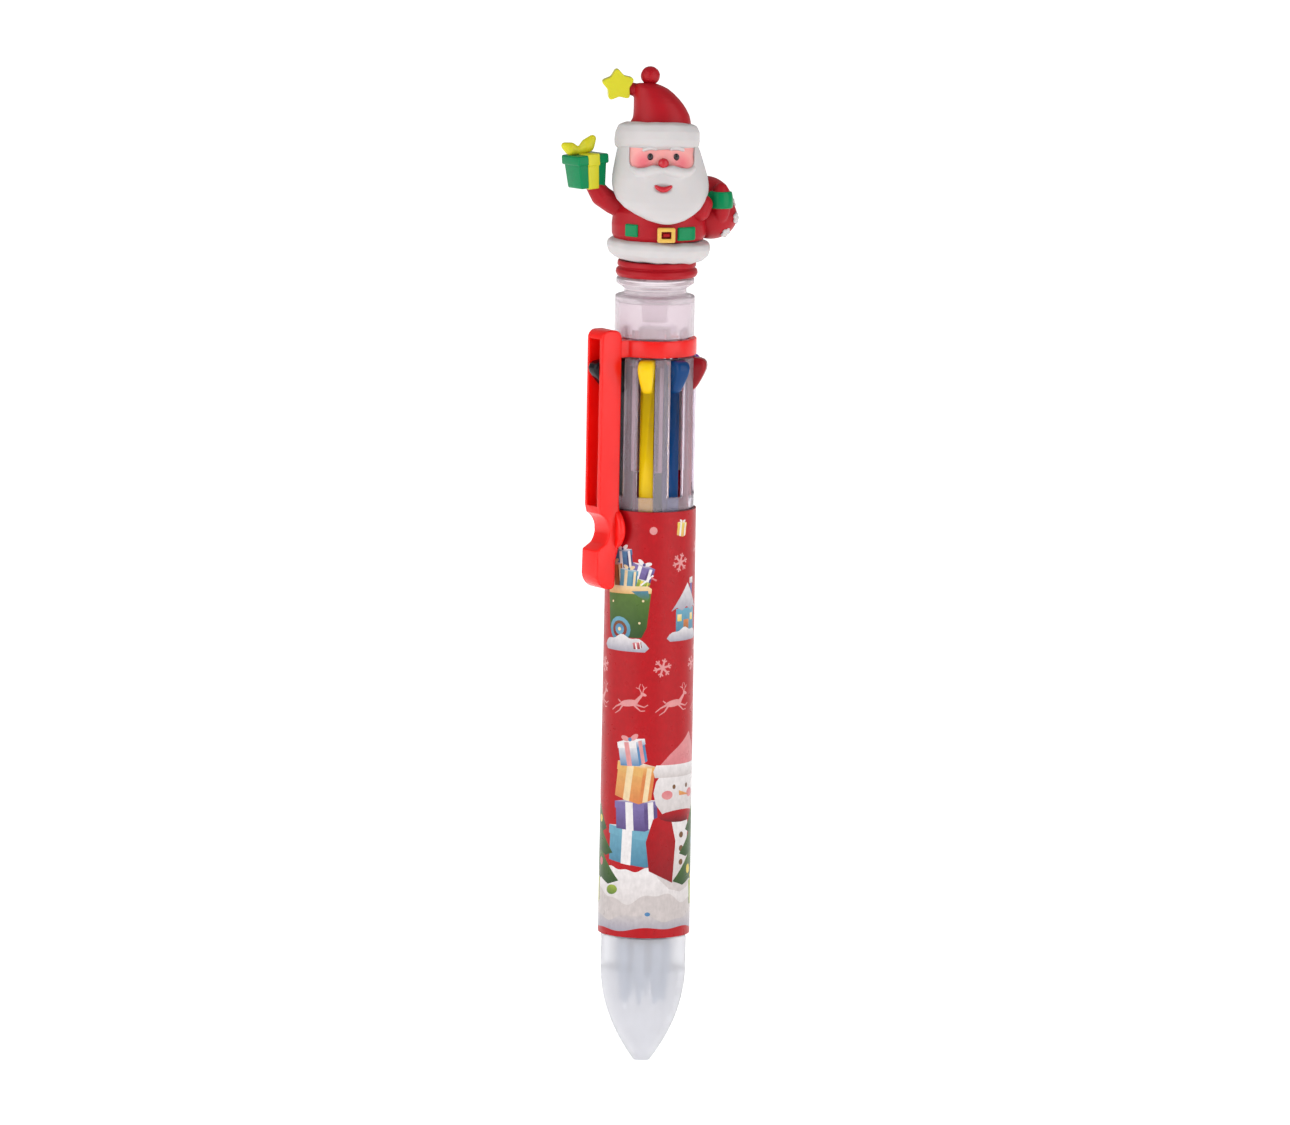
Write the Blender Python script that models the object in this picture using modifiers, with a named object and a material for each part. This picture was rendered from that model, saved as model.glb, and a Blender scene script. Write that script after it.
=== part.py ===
"""An eight-colour click pen with a soft moulded holiday figure on top.

Metres, +Z up along the pen. The origin is on the pen's axis at the writing end.
An angle around the pen is counted from -Y, the front, and grows towards +X.
"""

import math

import bmesh
import bpy
from mathutils import Matrix, Vector

MM = 0.001
GAP = 0.3 * MM
SEGMENTS = 36
SMALL_SEGMENTS = 12
FULL_TURN = 2 * math.pi

# Heights along the pen
NOSE_TOP = 22.5 * MM
SLEEVE_BOTTOM = 22.8 * MM
SLEEVE_TOP = 97.5 * MM
SLOT_BOTTOM = 99.9 * MM
SHOULDER = 124.0 * MM
RING_BOTTOM = SHOULDER + GAP
RING_TOP = 127.2 * MM
CAP_BOTTOM = RING_TOP + GAP
NECK_TOP = 128.9 * MM
CAP_TOP = 134.5 * MM
FLANGE_TOP = 137.6 * MM

# Radii of the shells
WINDOW_RADIUS = 7.37 * MM
BORE_RADIUS = 6.6 * MM
NECK_RADIUS = 5.95 * MM
NECK_BORE = 5.2 * MM
RING_BORE = NECK_RADIUS + GAP
CAP_RADIUS = 6.93 * MM
SLEEVE_TOP_RADIUS = 7.8 * MM
SLEEVE_BOTTOM_RADIUS = 8.0 * MM
SLEEVE_WALL = 0.45 * MM
LEDGE_TOP = 64.5 * MM
LEDGE_RADIUS = 5.9 * MM
SPIGOT_TOP = 30.0 * MM
SPIGOT_RADIUS = 6.1 * MM

# The nose: an ogive from its flat end to its full radius
NOSE_RADIUS = 7.4 * MM
NOSE_END_RADIUS = 1.4 * MM
NOSE_HOLE_RADIUS = 1.15 * MM
NOSE_OGIVE = 17.0 * MM
NOSE_WALL = 1.1 * MM
NOSE_POWER = 2.1

# The eight colours, each at its own angle, anticlockwise seen from above
COLOURS = {
    "black": (0.01, 0.008, 0.012),
    "yellow": (0.80, 0.52, 0.02),
    "blue": (0.004, 0.035, 0.19),
    "red": (0.42, 0.012, 0.015),
    "purple": (0.16, 0.03, 0.30),
    "green": (0.01, 0.25, 0.06),
    "pink": (0.80, 0.12, 0.28),
    "orange": (0.85, 0.20, 0.02),
}
FIRST_ANGLE = math.radians(-54.5)
STEP_ANGLE = FULL_TURN / len(COLOURS)
CLIP_ANGLE = FIRST_ANGLE

# Sliders, in the plane of the radius and the height
SLOT_WIDTH = 3.0 * MM
BUTTON_WIDTH = 2.5 * MM
RAIL_INNER = 4.7 * MM
RAIL_OUTER = 6.3 * MM
RAIL_BOTTOM = 95.5 * MM
BUTTON_BOTTOM = 118.5 * MM
BUTTON_REACH = 9.4 * MM
BUTTON_ROUND = 0.9 * MM
CLIP_BUTTON_REACH = 13.3 * MM
LATCH_REACH = 4.2 * MM
LATCH_HEIGHT = 1.6 * MM
TRAVEL = 12.8 * MM

# Refills hang from the sliders' pegs and lean towards the axis
REFILL_RADIUS_AT_TOP = 4.3 * MM
REFILL_TOP = 93.2 * MM
TIP_END = 10.4 * MM
TIP_RADIUS_AT_REST = 3.6 * MM
TUBE_RADIUS = 1.05 * MM
TUBE_BORE = 0.78 * MM
TUBE_BOTTOM = 21.5 * MM
PEG_RADIUS = 0.5 * MM
PEG_LENGTH = 3.0 * MM
BOSS_RADIUS = 1.4 * MM
BALL_RADIUS = 0.35 * MM
REFILL_LEAN = math.atan2(REFILL_RADIUS_AT_TOP - TIP_RADIUS_AT_REST, REFILL_TOP - TIP_END)

# Return springs and their seat
SEAT_TOP = 66.3 * MM
SEAT_BOTTOM = LEDGE_TOP + GAP
SEAT_RADIUS = 6.25 * MM
SEAT_HOLE_AT = 3.88 * MM
SEAT_HOLE_RADIUS = 1.38 * MM
SPRING_RADIUS = 1.3 * MM
WIRE_RADIUS = 0.1 * MM
SPRING_TURNS = 5
SPRING_POINTS = 6

# The core that keeps the sliders apart
CORE_RADIUS = 2.8 * MM
COLLAR_RADIUS = 3.95 * MM
COLLAR_BOTTOM = 103.9 * MM
CORE_FLANGE_RADIUS = 4.9 * MM
FIN_REACH = 6.2 * MM
FIN_THICKNESS = 0.6 * MM
FIN_TOP = 122.4 * MM

# The clip
CLIP_WIDTH = 4.7 * MM
CLIP_SLOT_WIDTH = 3.1 * MM
CLIP_INNER = 8.4 * MM
CLIP_OUTER = 12.6 * MM
CLIP_TOP = 129.1 * MM
CLIP_SLOT_BOTTOM = 98.4 * MM
CLIP_SLOT_TOP = 127.6 * MM
CLIP_WEB_REACH = 8.9 * MM

# The figure stands on the plug's pin. Its turned pieces are a little flattened from front to back.
PIN_RADIUS = 2.2 * MM
PIN_TOP = 141.0 * MM
PIN_HOLE = 2.6 * MM
FIGURE_X = 0.65 * MM
FLATTENED = 0.9
BASE_BOTTOM = FLANGE_TOP + GAP
HEM_BOTTOM = 140.6 * MM
HEM_TOP = 144.2 * MM
HEM_RADIUS = 8.85 * MM
TORSO_BOTTOM = HEM_TOP + GAP
TORSO_TOP = 151.4 * MM
TORSO_RADIUS = 8.1 * MM
HEAD_CENTRE = (0.8 * MM, -0.9 * MM, 154.2 * MM)
HEAD_RADII = (8.4 * MM, 7.2 * MM, 7.9 * MM)
BRIM_X = 0.25 * MM
BRIM_BOTTOM = 160.0 * MM
BRIM_TOP = 164.6 * MM
BRIM_RADIUS = 7.45 * MM
HAT_BOTTOM = BRIM_TOP + GAP
HAT_HEIGHT = 6.1 * MM
HAT_RADII = (4.9 * MM, 4.6 * MM)
HAT_X = 0.85 * MM
HAT_FULLNESS = 0.7
POMPOM_CENTRE = (-1.5 * MM, 0.0, 172.65 * MM)
POMPOM_RADIUS = 1.5 * MM
STAR_CENTRE = (-7.25 * MM, -0.4 * MM, 171.0 * MM)
STAR_RADIUS = 3.0 * MM
STAR_WAIST = 1.75 * MM
STAR_THICKNESS = 2.2 * MM
GIFT_CENTRE = (-11.8 * MM, -2.0 * MM, 156.2 * MM)
GIFT_SIZE = (5.9 * MM, 5.3 * MM, 5.6 * MM)
GIFT_TURN = math.radians(33)
GIFT_LID = (0.35 * MM, 1.9 * MM)
RIBBON_WIDTH = 1.9 * MM
RIBBON_PROUD = 0.7 * MM
BOW_RADII = (1.5 * MM, 0.8 * MM, 1.2 * MM)
SACK_CENTRE = (9.05 * MM, 3.6 * MM, 149.5 * MM)
SACK_RADII = (5.6 * MM, 5.2 * MM, 5.5 * MM)
ARM_RADIUS = 1.75 * MM


def clear_scene():
    for item in list(bpy.data.objects):
        bpy.data.objects.remove(item, do_unlink=True)


def new_collection(name):
    collection = bpy.data.collections.new(name)
    bpy.context.scene.collection.children.link(collection)
    return collection


def plastic(name, colour, roughness=0.35, metallic=0.0):
    material = bpy.data.materials.new(name)
    material.use_nodes = True
    shader = material.node_tree.nodes["Principled BSDF"]
    shader.inputs["Base Color"].default_value = (*colour, 1.0)
    shader.inputs["Roughness"].default_value = roughness
    shader.inputs["Metallic"].default_value = metallic
    return material


def add_object(name, data, material=None):
    """Links a part, shaded smooth where its faces meet at less than 35 degrees."""
    item = bpy.data.objects.new(name, data)
    PARTS.objects.link(item)
    if material:
        data.materials.clear()
        data.materials.append(material)
    if item.type == "MESH":
        data.shade_smooth()
        data.set_sharp_from_angle(angle=math.radians(35))
    return item


def add_cutter(name, data):
    item = bpy.data.objects.new(name, data)
    CUTTERS.objects.link(item)
    item.hide_render = True
    item.display_type = "WIRE"
    return item


def mesh_from(build, name):
    """A mesh made by a function that fills a bmesh."""
    work = bmesh.new()
    build(work)
    bmesh.ops.recalc_face_normals(work, faces=work.faces)
    mesh = bpy.data.meshes.new(name)
    work.to_mesh(mesh)
    work.free()
    return mesh


def combine(target, other, operation):
    boolean = target.modifiers.new(f"{operation.lower()}_{other.name}", "BOOLEAN")
    boolean.operation = operation
    boolean.solver = "EXACT"
    boolean.object = other


def turned_mesh(name, profile, closed):
    """The edge chain that a Screw modifier turns. The profile holds (radius, height) points."""
    mesh = bpy.data.meshes.new(name)
    count = len(profile)
    edges = [(i, i + 1) for i in range(count - 1)]
    if closed:
        edges.append((count - 1, 0))
    mesh.from_pydata([(radius, 0.0, height) for radius, height in profile], edges, [])
    return mesh


def screw(item, segments):
    turn = item.modifiers.new("turn", "SCREW")
    turn.steps = segments
    turn.render_steps = segments
    turn.use_merge_vertices = True
    turn.merge_threshold = 0.00001
    turn.use_smooth_shade = True
    return item


def turned(name, profile, material, segments=SEGMENTS, hollow=False):
    """A solid of revolution; a hollow one has a closed profile, a full one starts and ends on the axis."""
    item = add_object(name, turned_mesh(name, profile, hollow))
    item.data.materials.append(material)
    return screw(item, segments)


def turned_cutter(name, profile, segments=SEGMENTS):
    return screw(add_cutter(name, turned_mesh(name, profile, False)), segments)


def box_into(work, centre, size, turn=0.0):
    place = Matrix.Translation(centre) @ Matrix.Rotation(turn, 4, "Z") @ Matrix.Diagonal((*size, 1.0))
    bmesh.ops.create_cube(work, size=1.0, matrix=place)


def ellipsoid_into(work, centre, radii, segments=18, rings=11, grow=0.0):
    place = Matrix.Translation(centre) @ Matrix.Diagonal((*[r + grow for r in radii], 1.0))
    bmesh.ops.create_uvsphere(work, u_segments=segments, v_segments=rings, radius=1.0, matrix=place)


def outward(angle):
    """The direction away from the pen's axis at this angle."""
    return Vector((math.sin(angle), -math.cos(angle), 0.0))


def radial_plane(angle):
    """Takes a flat drawing's X outward and its Y up, at this angle around the pen."""
    out = outward(angle)
    up = Vector((0.0, 0.0, 1.0))
    return Matrix((out, up, out.cross(up))).transposed().to_4x4()


def arc(centre, radius, start, end, steps):
    """Points on an arc in a flat drawing, from one angle to another in degrees."""
    turns = [math.radians(start + (end - start) * i / steps) for i in range(steps + 1)]
    return [(centre[0] + radius * math.cos(t), centre[1] + radius * math.sin(t)) for t in turns]


def flat_outline(name, points, thickness, place):
    """A flat outline extruded to a thickness, as a welded mesh standing at its place."""
    curve = bpy.data.curves.new(f"{name}_outline", "CURVE")
    curve.dimensions = "2D"
    curve.fill_mode = "BOTH"
    curve.extrude = thickness / 2
    spline = curve.splines.new("POLY")
    spline.points.add(len(points) - 1)
    for point, (x, y) in zip(spline.points, points):
        point.co = (x, y, 0.0, 1.0)
    spline.use_cyclic_u = True
    return mesh_of_curve(name, curve, place)


def mesh_of_curve(name, curve, place):
    """The curve's evaluated shape as a closed mesh in world space."""
    guide = bpy.data.objects.new(f"{name}_guide", curve)
    CUTTERS.objects.link(guide)
    bpy.context.view_layer.update()
    graph = bpy.context.evaluated_depsgraph_get()
    mesh = bpy.data.meshes.new_from_object(guide.evaluated_get(graph))
    bpy.data.objects.remove(guide)
    mesh.name = name
    mesh.transform(place)
    work = bmesh.new()
    work.from_mesh(mesh)
    bmesh.ops.remove_doubles(work, verts=work.verts, dist=0.000005)
    bmesh.ops.recalc_face_normals(work, faces=work.faces)
    work.to_mesh(mesh)
    work.free()
    return mesh


def wire(name, points, radius, resolution):
    """A round wire along a chain of points, with closed ends."""
    curve = bpy.data.curves.new(f"{name}_path", "CURVE")
    curve.dimensions = "3D"
    curve.bevel_depth = radius
    curve.bevel_resolution = resolution
    curve.use_fill_caps = True
    spline = curve.splines.new("POLY")
    spline.points.add(len(points) - 1)
    for point, place in zip(spline.points, points):
        point.co = (*place, 1.0)
    return mesh_of_curve(name, curve, Matrix.Identity(4))


def nose_radius(height):
    """The nose's outer radius: it grows fast from the flat end and levels out at the top of the ogive."""
    left = max(0.0, 1.0 - height / NOSE_OGIVE)
    return NOSE_RADIUS - (NOSE_RADIUS - NOSE_END_RADIUS) * left**NOSE_POWER


# The body


def make_barrel(material):
    profile = [
        (NECK_RADIUS, NECK_TOP),
        (NECK_RADIUS, SHOULDER),
        (WINDOW_RADIUS, SHOULDER),
        (WINDOW_RADIUS, SLEEVE_TOP + 0.2 * MM),
        (SLEEVE_TOP_RADIUS - SLEEVE_WALL - GAP, SLEEVE_TOP + 0.2 * MM),
        (SLEEVE_BOTTOM_RADIUS - SLEEVE_WALL - GAP, SLEEVE_BOTTOM),
        (SPIGOT_RADIUS + GAP, SLEEVE_BOTTOM),
        (SPIGOT_RADIUS + GAP, SPIGOT_TOP + 1.0 * MM),
        (LEDGE_RADIUS, SPIGOT_TOP + 1.5 * MM),
        (LEDGE_RADIUS, LEDGE_TOP),
        (BORE_RADIUS, LEDGE_TOP),
        (BORE_RADIUS, SHOULDER - 1.2 * MM),
        (NECK_BORE, SHOULDER - 0.4 * MM),
        (NECK_BORE, NECK_TOP),
    ]
    barrel = turned("barrel", profile, material, hollow=True)
    top = NECK_TOP + 1.0 * MM
    reach = (4.0 * MM, 9.0 * MM)

    def slots(work):
        for index in range(len(COLOURS)):
            angle = FIRST_ANGLE + index * STEP_ANGLE
            centre = outward(angle) * (sum(reach) / 2)
            centre.z = (SLOT_BOTTOM + top) / 2
            box_into(work, centre, (SLOT_WIDTH, reach[1] - reach[0], top - SLOT_BOTTOM), angle)

    combine(barrel, add_cutter("slot_cutter", mesh_from(slots, "slot_cutter")), "DIFFERENCE")


def make_sleeve(material):
    profile = [
        (SLEEVE_TOP_RADIUS, SLEEVE_TOP),
        (SLEEVE_BOTTOM_RADIUS, SLEEVE_BOTTOM),
        (SLEEVE_BOTTOM_RADIUS - SLEEVE_WALL, SLEEVE_BOTTOM),
        (SLEEVE_TOP_RADIUS - SLEEVE_WALL, SLEEVE_TOP),
    ]
    turned("printed_sleeve", profile, material, hollow=True)


def make_nose(material):
    heights = [0.0, 0.9, 2.2, 4.2, 7.0, 10.5, 17.0]
    outer = [(nose_radius(h * MM), h * MM) for h in reversed(heights)]
    inner = [(nose_radius(h * MM) - NOSE_WALL, h * MM) for h in heights[3:-1]]
    profile = [
        (SPIGOT_RADIUS, SPIGOT_TOP),
        (SPIGOT_RADIUS, NOSE_TOP),
        (NOSE_RADIUS, NOSE_TOP),
        *outer,
        (NOSE_HOLE_RADIUS, 0.0),
        (NOSE_HOLE_RADIUS, 1.4 * MM),
        *inner,
        (SPIGOT_RADIUS - 0.9 * MM, NOSE_OGIVE),
        (SPIGOT_RADIUS - 0.9 * MM, SPIGOT_TOP),
    ]
    turned("nose_cone", profile, material, hollow=True)


def clip_outline():
    """The arm seen from its side: a rounded top, a straight back, a thumb notch and a rounded foot."""
    corner = 1.3 * MM
    top_outer = (CLIP_OUTER - corner, CLIP_TOP - corner)
    top_inner = (CLIP_INNER + corner, CLIP_TOP - corner)
    back = (CLIP_OUTER, CLIP_SLOT_BOTTOM)
    notch = arc((13.9 * MM, 94.1 * MM), 3.45 * MM, 115, 225, 7)
    foot = [
        (13.0 * MM, 90.7 * MM),
        *arc((10.1 * MM, 86.8 * MM), 2.9 * MM, 0, -90, 5),
        *arc((10.0 * MM, 84.8 * MM), 0.9 * MM, 255, 180, 3),
    ]
    bump = [(9.0 * MM, 89.3 * MM), (8.4 * MM, 91.2 * MM), (8.1 * MM, 93.5 * MM), (8.1 * MM, 96.3 * MM)]
    return [
        *arc(top_outer, corner, 90, 0, 4),
        back,
        *notch,
        *foot,
        *bump,
        (CLIP_INNER, 99.1 * MM),
        *arc(top_inner, corner, 180, 90, 4),
    ]


def make_clip(material):
    clip = add_object(
        "clip", flat_outline("clip", clip_outline(), CLIP_WIDTH, radial_plane(CLIP_ANGLE)), material
    )
    web = [
        (RING_BORE + 0.4 * MM, RING_BOTTOM),
        (CLIP_WEB_REACH, RING_BOTTOM),
        (CLIP_WEB_REACH, RING_TOP),
        (RING_BORE + 0.4 * MM, RING_TOP),
    ]
    ring = [
        (WINDOW_RADIUS, RING_TOP),
        (WINDOW_RADIUS, RING_BOTTOM),
        (RING_BORE, RING_BOTTOM),
        (RING_BORE, RING_TOP),
    ]
    slot = [
        (CLIP_INNER - 3.0 * MM, CLIP_SLOT_BOTTOM),
        (CLIP_OUTER + 2.0 * MM, CLIP_SLOT_BOTTOM),
        (CLIP_OUTER + 2.0 * MM, CLIP_SLOT_TOP),
        (CLIP_WEB_REACH, CLIP_SLOT_TOP),
        (CLIP_WEB_REACH, RING_BOTTOM - 0.1 * MM),
        (CLIP_INNER - 3.0 * MM, RING_BOTTOM - 0.1 * MM),
    ]
    plane = radial_plane(CLIP_ANGLE)
    web_mesh = flat_outline("clip_web", web, CLIP_WIDTH - 0.02 * MM, plane)
    ring_part = screw(add_cutter("clip_ring", turned_mesh("clip_ring", ring, True)), SEGMENTS)
    slot_mesh = flat_outline("clip_slot", slot, CLIP_SLOT_WIDTH, plane)
    combine(clip, add_cutter("clip_web", web_mesh), "UNION")
    combine(clip, add_cutter("clip_slot", slot_mesh), "DIFFERENCE")
    combine(clip, ring_part, "UNION")


def make_cap(material):
    bore = RING_BORE
    roof = CAP_TOP - 1.0 * MM
    profile = [
        (CAP_RADIUS - 0.3 * MM, CAP_TOP),
        (CAP_RADIUS, CAP_TOP - 0.3 * MM),
        (CAP_RADIUS, CAP_BOTTOM),
        (bore, CAP_BOTTOM),
        (bore, roof),
        (PIN_HOLE, roof),
        (PIN_HOLE, CAP_TOP),
    ]
    turned("top_cap", profile, material, hollow=True)


def make_plug(material):
    neck = 5.44 * MM
    flange = 6.78 * MM
    profile = [
        (0.0, PIN_TOP),
        (PIN_RADIUS, PIN_TOP),
        (PIN_RADIUS, FLANGE_TOP),
        (flange - 0.3 * MM, FLANGE_TOP),
        (flange, FLANGE_TOP - 0.3 * MM),
        (flange, FLANGE_TOP - 0.8 * MM),
        (flange - 0.5 * MM, FLANGE_TOP - 1.3 * MM),
        (neck, FLANGE_TOP - 1.8 * MM),
        (neck, CAP_TOP + GAP),
        (PIN_RADIUS, CAP_TOP + GAP),
        (PIN_RADIUS, NECK_TOP + 1.0 * MM),
        (0.0, NECK_TOP + 1.0 * MM),
    ]
    turned("topper_plug", profile, material, segments=32)


# The mechanism


def make_core(material):
    profile = [
        (0.0, NECK_TOP),
        (CORE_RADIUS, NECK_TOP),
        (CORE_RADIUS, 126.9 * MM),
        (CORE_FLANGE_RADIUS, 126.4 * MM),
        (CORE_FLANGE_RADIUS, SHOULDER + 1.0 * MM),
        (CORE_RADIUS, SHOULDER + 0.5 * MM),
        (CORE_RADIUS, COLLAR_BOTTOM + 4.0 * MM),
        (COLLAR_RADIUS, COLLAR_BOTTOM + 2.5 * MM),
        (COLLAR_RADIUS, COLLAR_BOTTOM),
        (0.0, COLLAR_BOTTOM),
    ]
    core = turned("guide_core", profile, material, segments=24)
    bottom = COLLAR_BOTTOM + 0.5 * MM
    inner = 2.0 * MM

    def fins(work):
        for index in range(len(COLOURS)):
            angle = FIRST_ANGLE + (index + 0.5) * STEP_ANGLE
            centre = outward(angle) * ((inner + FIN_REACH) / 2)
            centre.z = (bottom + FIN_TOP) / 2
            box_into(work, centre, (FIN_THICKNESS, FIN_REACH - inner, FIN_TOP - bottom), angle)

    combine(core, add_cutter("fins", mesh_from(fins, "fins")), "UNION")


def make_seat(material):
    profile = [(0.0, SEAT_TOP), (SEAT_RADIUS, SEAT_TOP), (SEAT_RADIUS, SEAT_BOTTOM), (0.0, SEAT_BOTTOM)]
    seat = turned("spring_seat", profile, material, segments=32)
    middle = (SEAT_TOP + SEAT_BOTTOM) / 2

    def holes(work):
        for index in range(len(COLOURS)):
            centre = outward(FIRST_ANGLE + index * STEP_ANGLE) * SEAT_HOLE_AT
            centre.z = middle
            bmesh.ops.create_cone(
                work,
                cap_ends=True,
                segments=16,
                radius1=SEAT_HOLE_RADIUS,
                radius2=SEAT_HOLE_RADIUS,
                depth=4.0 * MM,
                matrix=Matrix.Translation(centre),
            )

    combine(seat, add_cutter("seat_holes", mesh_from(holes, "seat_holes")), "DIFFERENCE")


def slider_outline(reach, heel):
    """A slider from its side: the rail, the latch step inside and the button outside."""
    top = SHOULDER - 0.1 * MM
    latch_top = COLLAR_BOTTOM - GAP + TRAVEL
    latch_bottom = latch_top - LATCH_HEIGHT
    return [
        (RAIL_INNER, RAIL_BOTTOM),
        (RAIL_OUTER, RAIL_BOTTOM),
        (RAIL_OUTER, BUTTON_BOTTOM - 0.4 * MM),
        (heel, BUTTON_BOTTOM),
        *arc((reach - BUTTON_ROUND, top - BUTTON_ROUND), BUTTON_ROUND, -25, 90, 4),
        (RAIL_INNER, top),
        (RAIL_INNER, latch_top + 1.2 * MM),
        (LATCH_REACH, latch_top),
        (LATCH_REACH, latch_bottom),
        (RAIL_INNER, latch_bottom - 0.6 * MM),
    ]


def make_slider(colour, angle, material):
    """The slider with the boss that its spring pushes and the peg that the ink tube is pushed on."""
    in_clip = math.isclose(angle, CLIP_ANGLE)
    reach = CLIP_BUTTON_REACH if in_clip else BUTTON_REACH
    heel = 10.0 * MM if in_clip else 7.3 * MM
    name = f"slider_{colour}"
    outline = slider_outline(reach, heel)
    slider = add_object(name, flat_outline(name, outline, BUTTON_WIDTH, radial_plane(angle)), material)
    boss = [
        (0.0, RAIL_BOTTOM + 1.0 * MM),
        (BOSS_RADIUS, RAIL_BOTTOM + 1.0 * MM),
        (BOSS_RADIUS, REFILL_TOP + GAP),
        (PEG_RADIUS, REFILL_TOP + GAP),
        (PEG_RADIUS, REFILL_TOP - PEG_LENGTH),
        (0.0, REFILL_TOP - PEG_LENGTH),
    ]
    stem = turned_cutter(f"stem_{colour}", boss, SMALL_SEGMENTS)
    stem.location = outward(angle) * REFILL_RADIUS_AT_TOP
    combine(slider, stem, "UNION")


def refill_place(angle):
    """The refill's own frame: its origin at the peg, its Z along the leaning tube."""
    lean = Matrix.Rotation(-REFILL_LEAN, 4, Vector((math.cos(angle), math.sin(angle), 0.0)))
    pivot = outward(angle) * REFILL_RADIUS_AT_TOP
    pivot.z = REFILL_TOP
    return Matrix.Translation(pivot) @ lean.inverted()


def make_refill(colour, angle, tube_material, tip_material):
    holder = bpy.data.objects.new(f"refill_{colour}", None)
    PARTS.objects.link(holder)
    holder.matrix_world = refill_place(angle)
    tube_end = TUBE_BOTTOM - REFILL_TOP
    tip_end = TIP_END - REFILL_TOP
    tube = [(TUBE_RADIUS, 0.0), (TUBE_RADIUS, tube_end), (TUBE_BORE, tube_end), (TUBE_BORE, 0.0)]
    tip = [
        (0.0, tube_end + 2.5 * MM),
        (PEG_RADIUS, tube_end + 2.5 * MM),
        (PEG_RADIUS, tube_end - GAP),
        (TUBE_RADIUS, tube_end - GAP),
        (TUBE_RADIUS, tip_end + 5.2 * MM),
        (0.62 * MM, tip_end + 2.6 * MM),
        (BALL_RADIUS, tip_end + 0.3 * MM),
        (0.15 * MM, tip_end),
        (0.0, tip_end),
    ]
    turned(f"refill_tube_{colour}", tube, tube_material, SMALL_SEGMENTS, hollow=True).parent = holder
    turned(f"refill_tip_{colour}", tip, tip_material, SMALL_SEGMENTS).parent = holder


def make_spring(colour, angle, material):
    top = -2 * GAP
    bottom = SEAT_TOP - REFILL_TOP + GAP + 2 * WIRE_RADIUS
    count = SPRING_TURNS * SPRING_POINTS
    points = []
    for index in range(count + 1):
        turn = FULL_TURN * index / SPRING_POINTS
        height = bottom + (top - bottom) * index / count
        points.append((SPRING_RADIUS * math.cos(turn), SPRING_RADIUS * math.sin(turn), height))
    name = f"spring_{colour}"
    spring = add_object(name, wire(name, points, WIRE_RADIUS, 0), material)
    spring.matrix_world = refill_place(angle)


# The figure


def pin_hole(name, depth_top):
    profile = [
        (0.0, depth_top),
        (PIN_HOLE, depth_top),
        (PIN_HOLE, BASE_BOTTOM - 1.0 * MM),
        (0.0, BASE_BOTTOM - 1.0 * MM),
    ]
    return turned_cutter(name, profile, 24)


def flattened(item, x):
    item.location.x = x
    item.scale.y = FLATTENED
    return item


def head_cutter():
    return add_cutter(
        "head_room",
        mesh_from(lambda work: ellipsoid_into(work, HEAD_CENTRE, HEAD_RADII, 20, 12, GAP), "head_room"),
    )


def torso_profile(grow=0.0):
    """The coat: full at the waist, drawn in to the shoulders."""
    radius = TORSO_RADIUS + grow
    return [
        (0.0, TORSO_TOP + grow),
        (radius - 2.6 * MM, TORSO_TOP + grow),
        (radius - 1.0 * MM, TORSO_TOP - 0.9 * MM + grow),
        (radius - 0.2 * MM, TORSO_TOP - 2.6 * MM),
        (radius, TORSO_TOP - 4.4 * MM),
        (radius, TORSO_BOTTOM - grow),
        (0.0, TORSO_BOTTOM - grow),
    ]


def make_base_and_coat(red, white):
    base = [
        (0.0, HEM_BOTTOM - GAP),
        (6.9 * MM, HEM_BOTTOM - GAP),
        (7.1 * MM, HEM_BOTTOM - 0.9 * MM),
        (7.1 * MM, BASE_BOTTOM + 0.4 * MM),
        (6.7 * MM, BASE_BOTTOM),
        (0.0, BASE_BOTTOM),
    ]
    figure_base = turned("figure_base", base, red, segments=32)
    figure_base.location.x = 0.2 * MM
    combine(figure_base, pin_hole("base_hole", HEM_BOTTOM + 1.0 * MM), "DIFFERENCE")
    middle = (HEM_BOTTOM + HEM_TOP) / 2
    half = (HEM_TOP - HEM_BOTTOM) / 2
    edge = [(HEM_RADIUS - half + r, middle + z) for r, z in arc((0.0, 0.0), half, 90, -90, 6)]
    hem = turned("coat_hem", [(0.0, HEM_TOP), *edge, (0.0, HEM_BOTTOM)], white, segments=32)
    flattened(hem, FIGURE_X)
    combine(hem, pin_hole("hem_hole", PIN_TOP + GAP), "DIFFERENCE")
    torso = flattened(turned("torso", torso_profile(), red, segments=32), FIGURE_X)
    combine(torso, HEAD_ROOM, "DIFFERENCE")


def curved_panel(name, start, end, bottom, top, reach, thickness, material, steps=5):
    """A raised panel that follows the coat from one angle to another."""
    radius = reach + thickness / 2

    def sheet(work):
        rows = []
        for height in (bottom, top):
            row = []
            for index in range(steps + 1):
                place = outward(start + (end - start) * index / steps) * radius
                row.append(work.verts.new((place.x + FIGURE_X, place.y * FLATTENED, height)))
            rows.append(row)
        for low, high in zip(zip(rows[0], rows[0][1:]), zip(rows[1], rows[1][1:])):
            work.faces.new((low[0], low[1], high[1], high[0]))

    panel = add_object(name, mesh_from(sheet, name), material)
    solid = panel.modifiers.new("thickness", "SOLIDIFY")
    solid.thickness = thickness
    solid.offset = 0.0
    return panel


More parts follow.
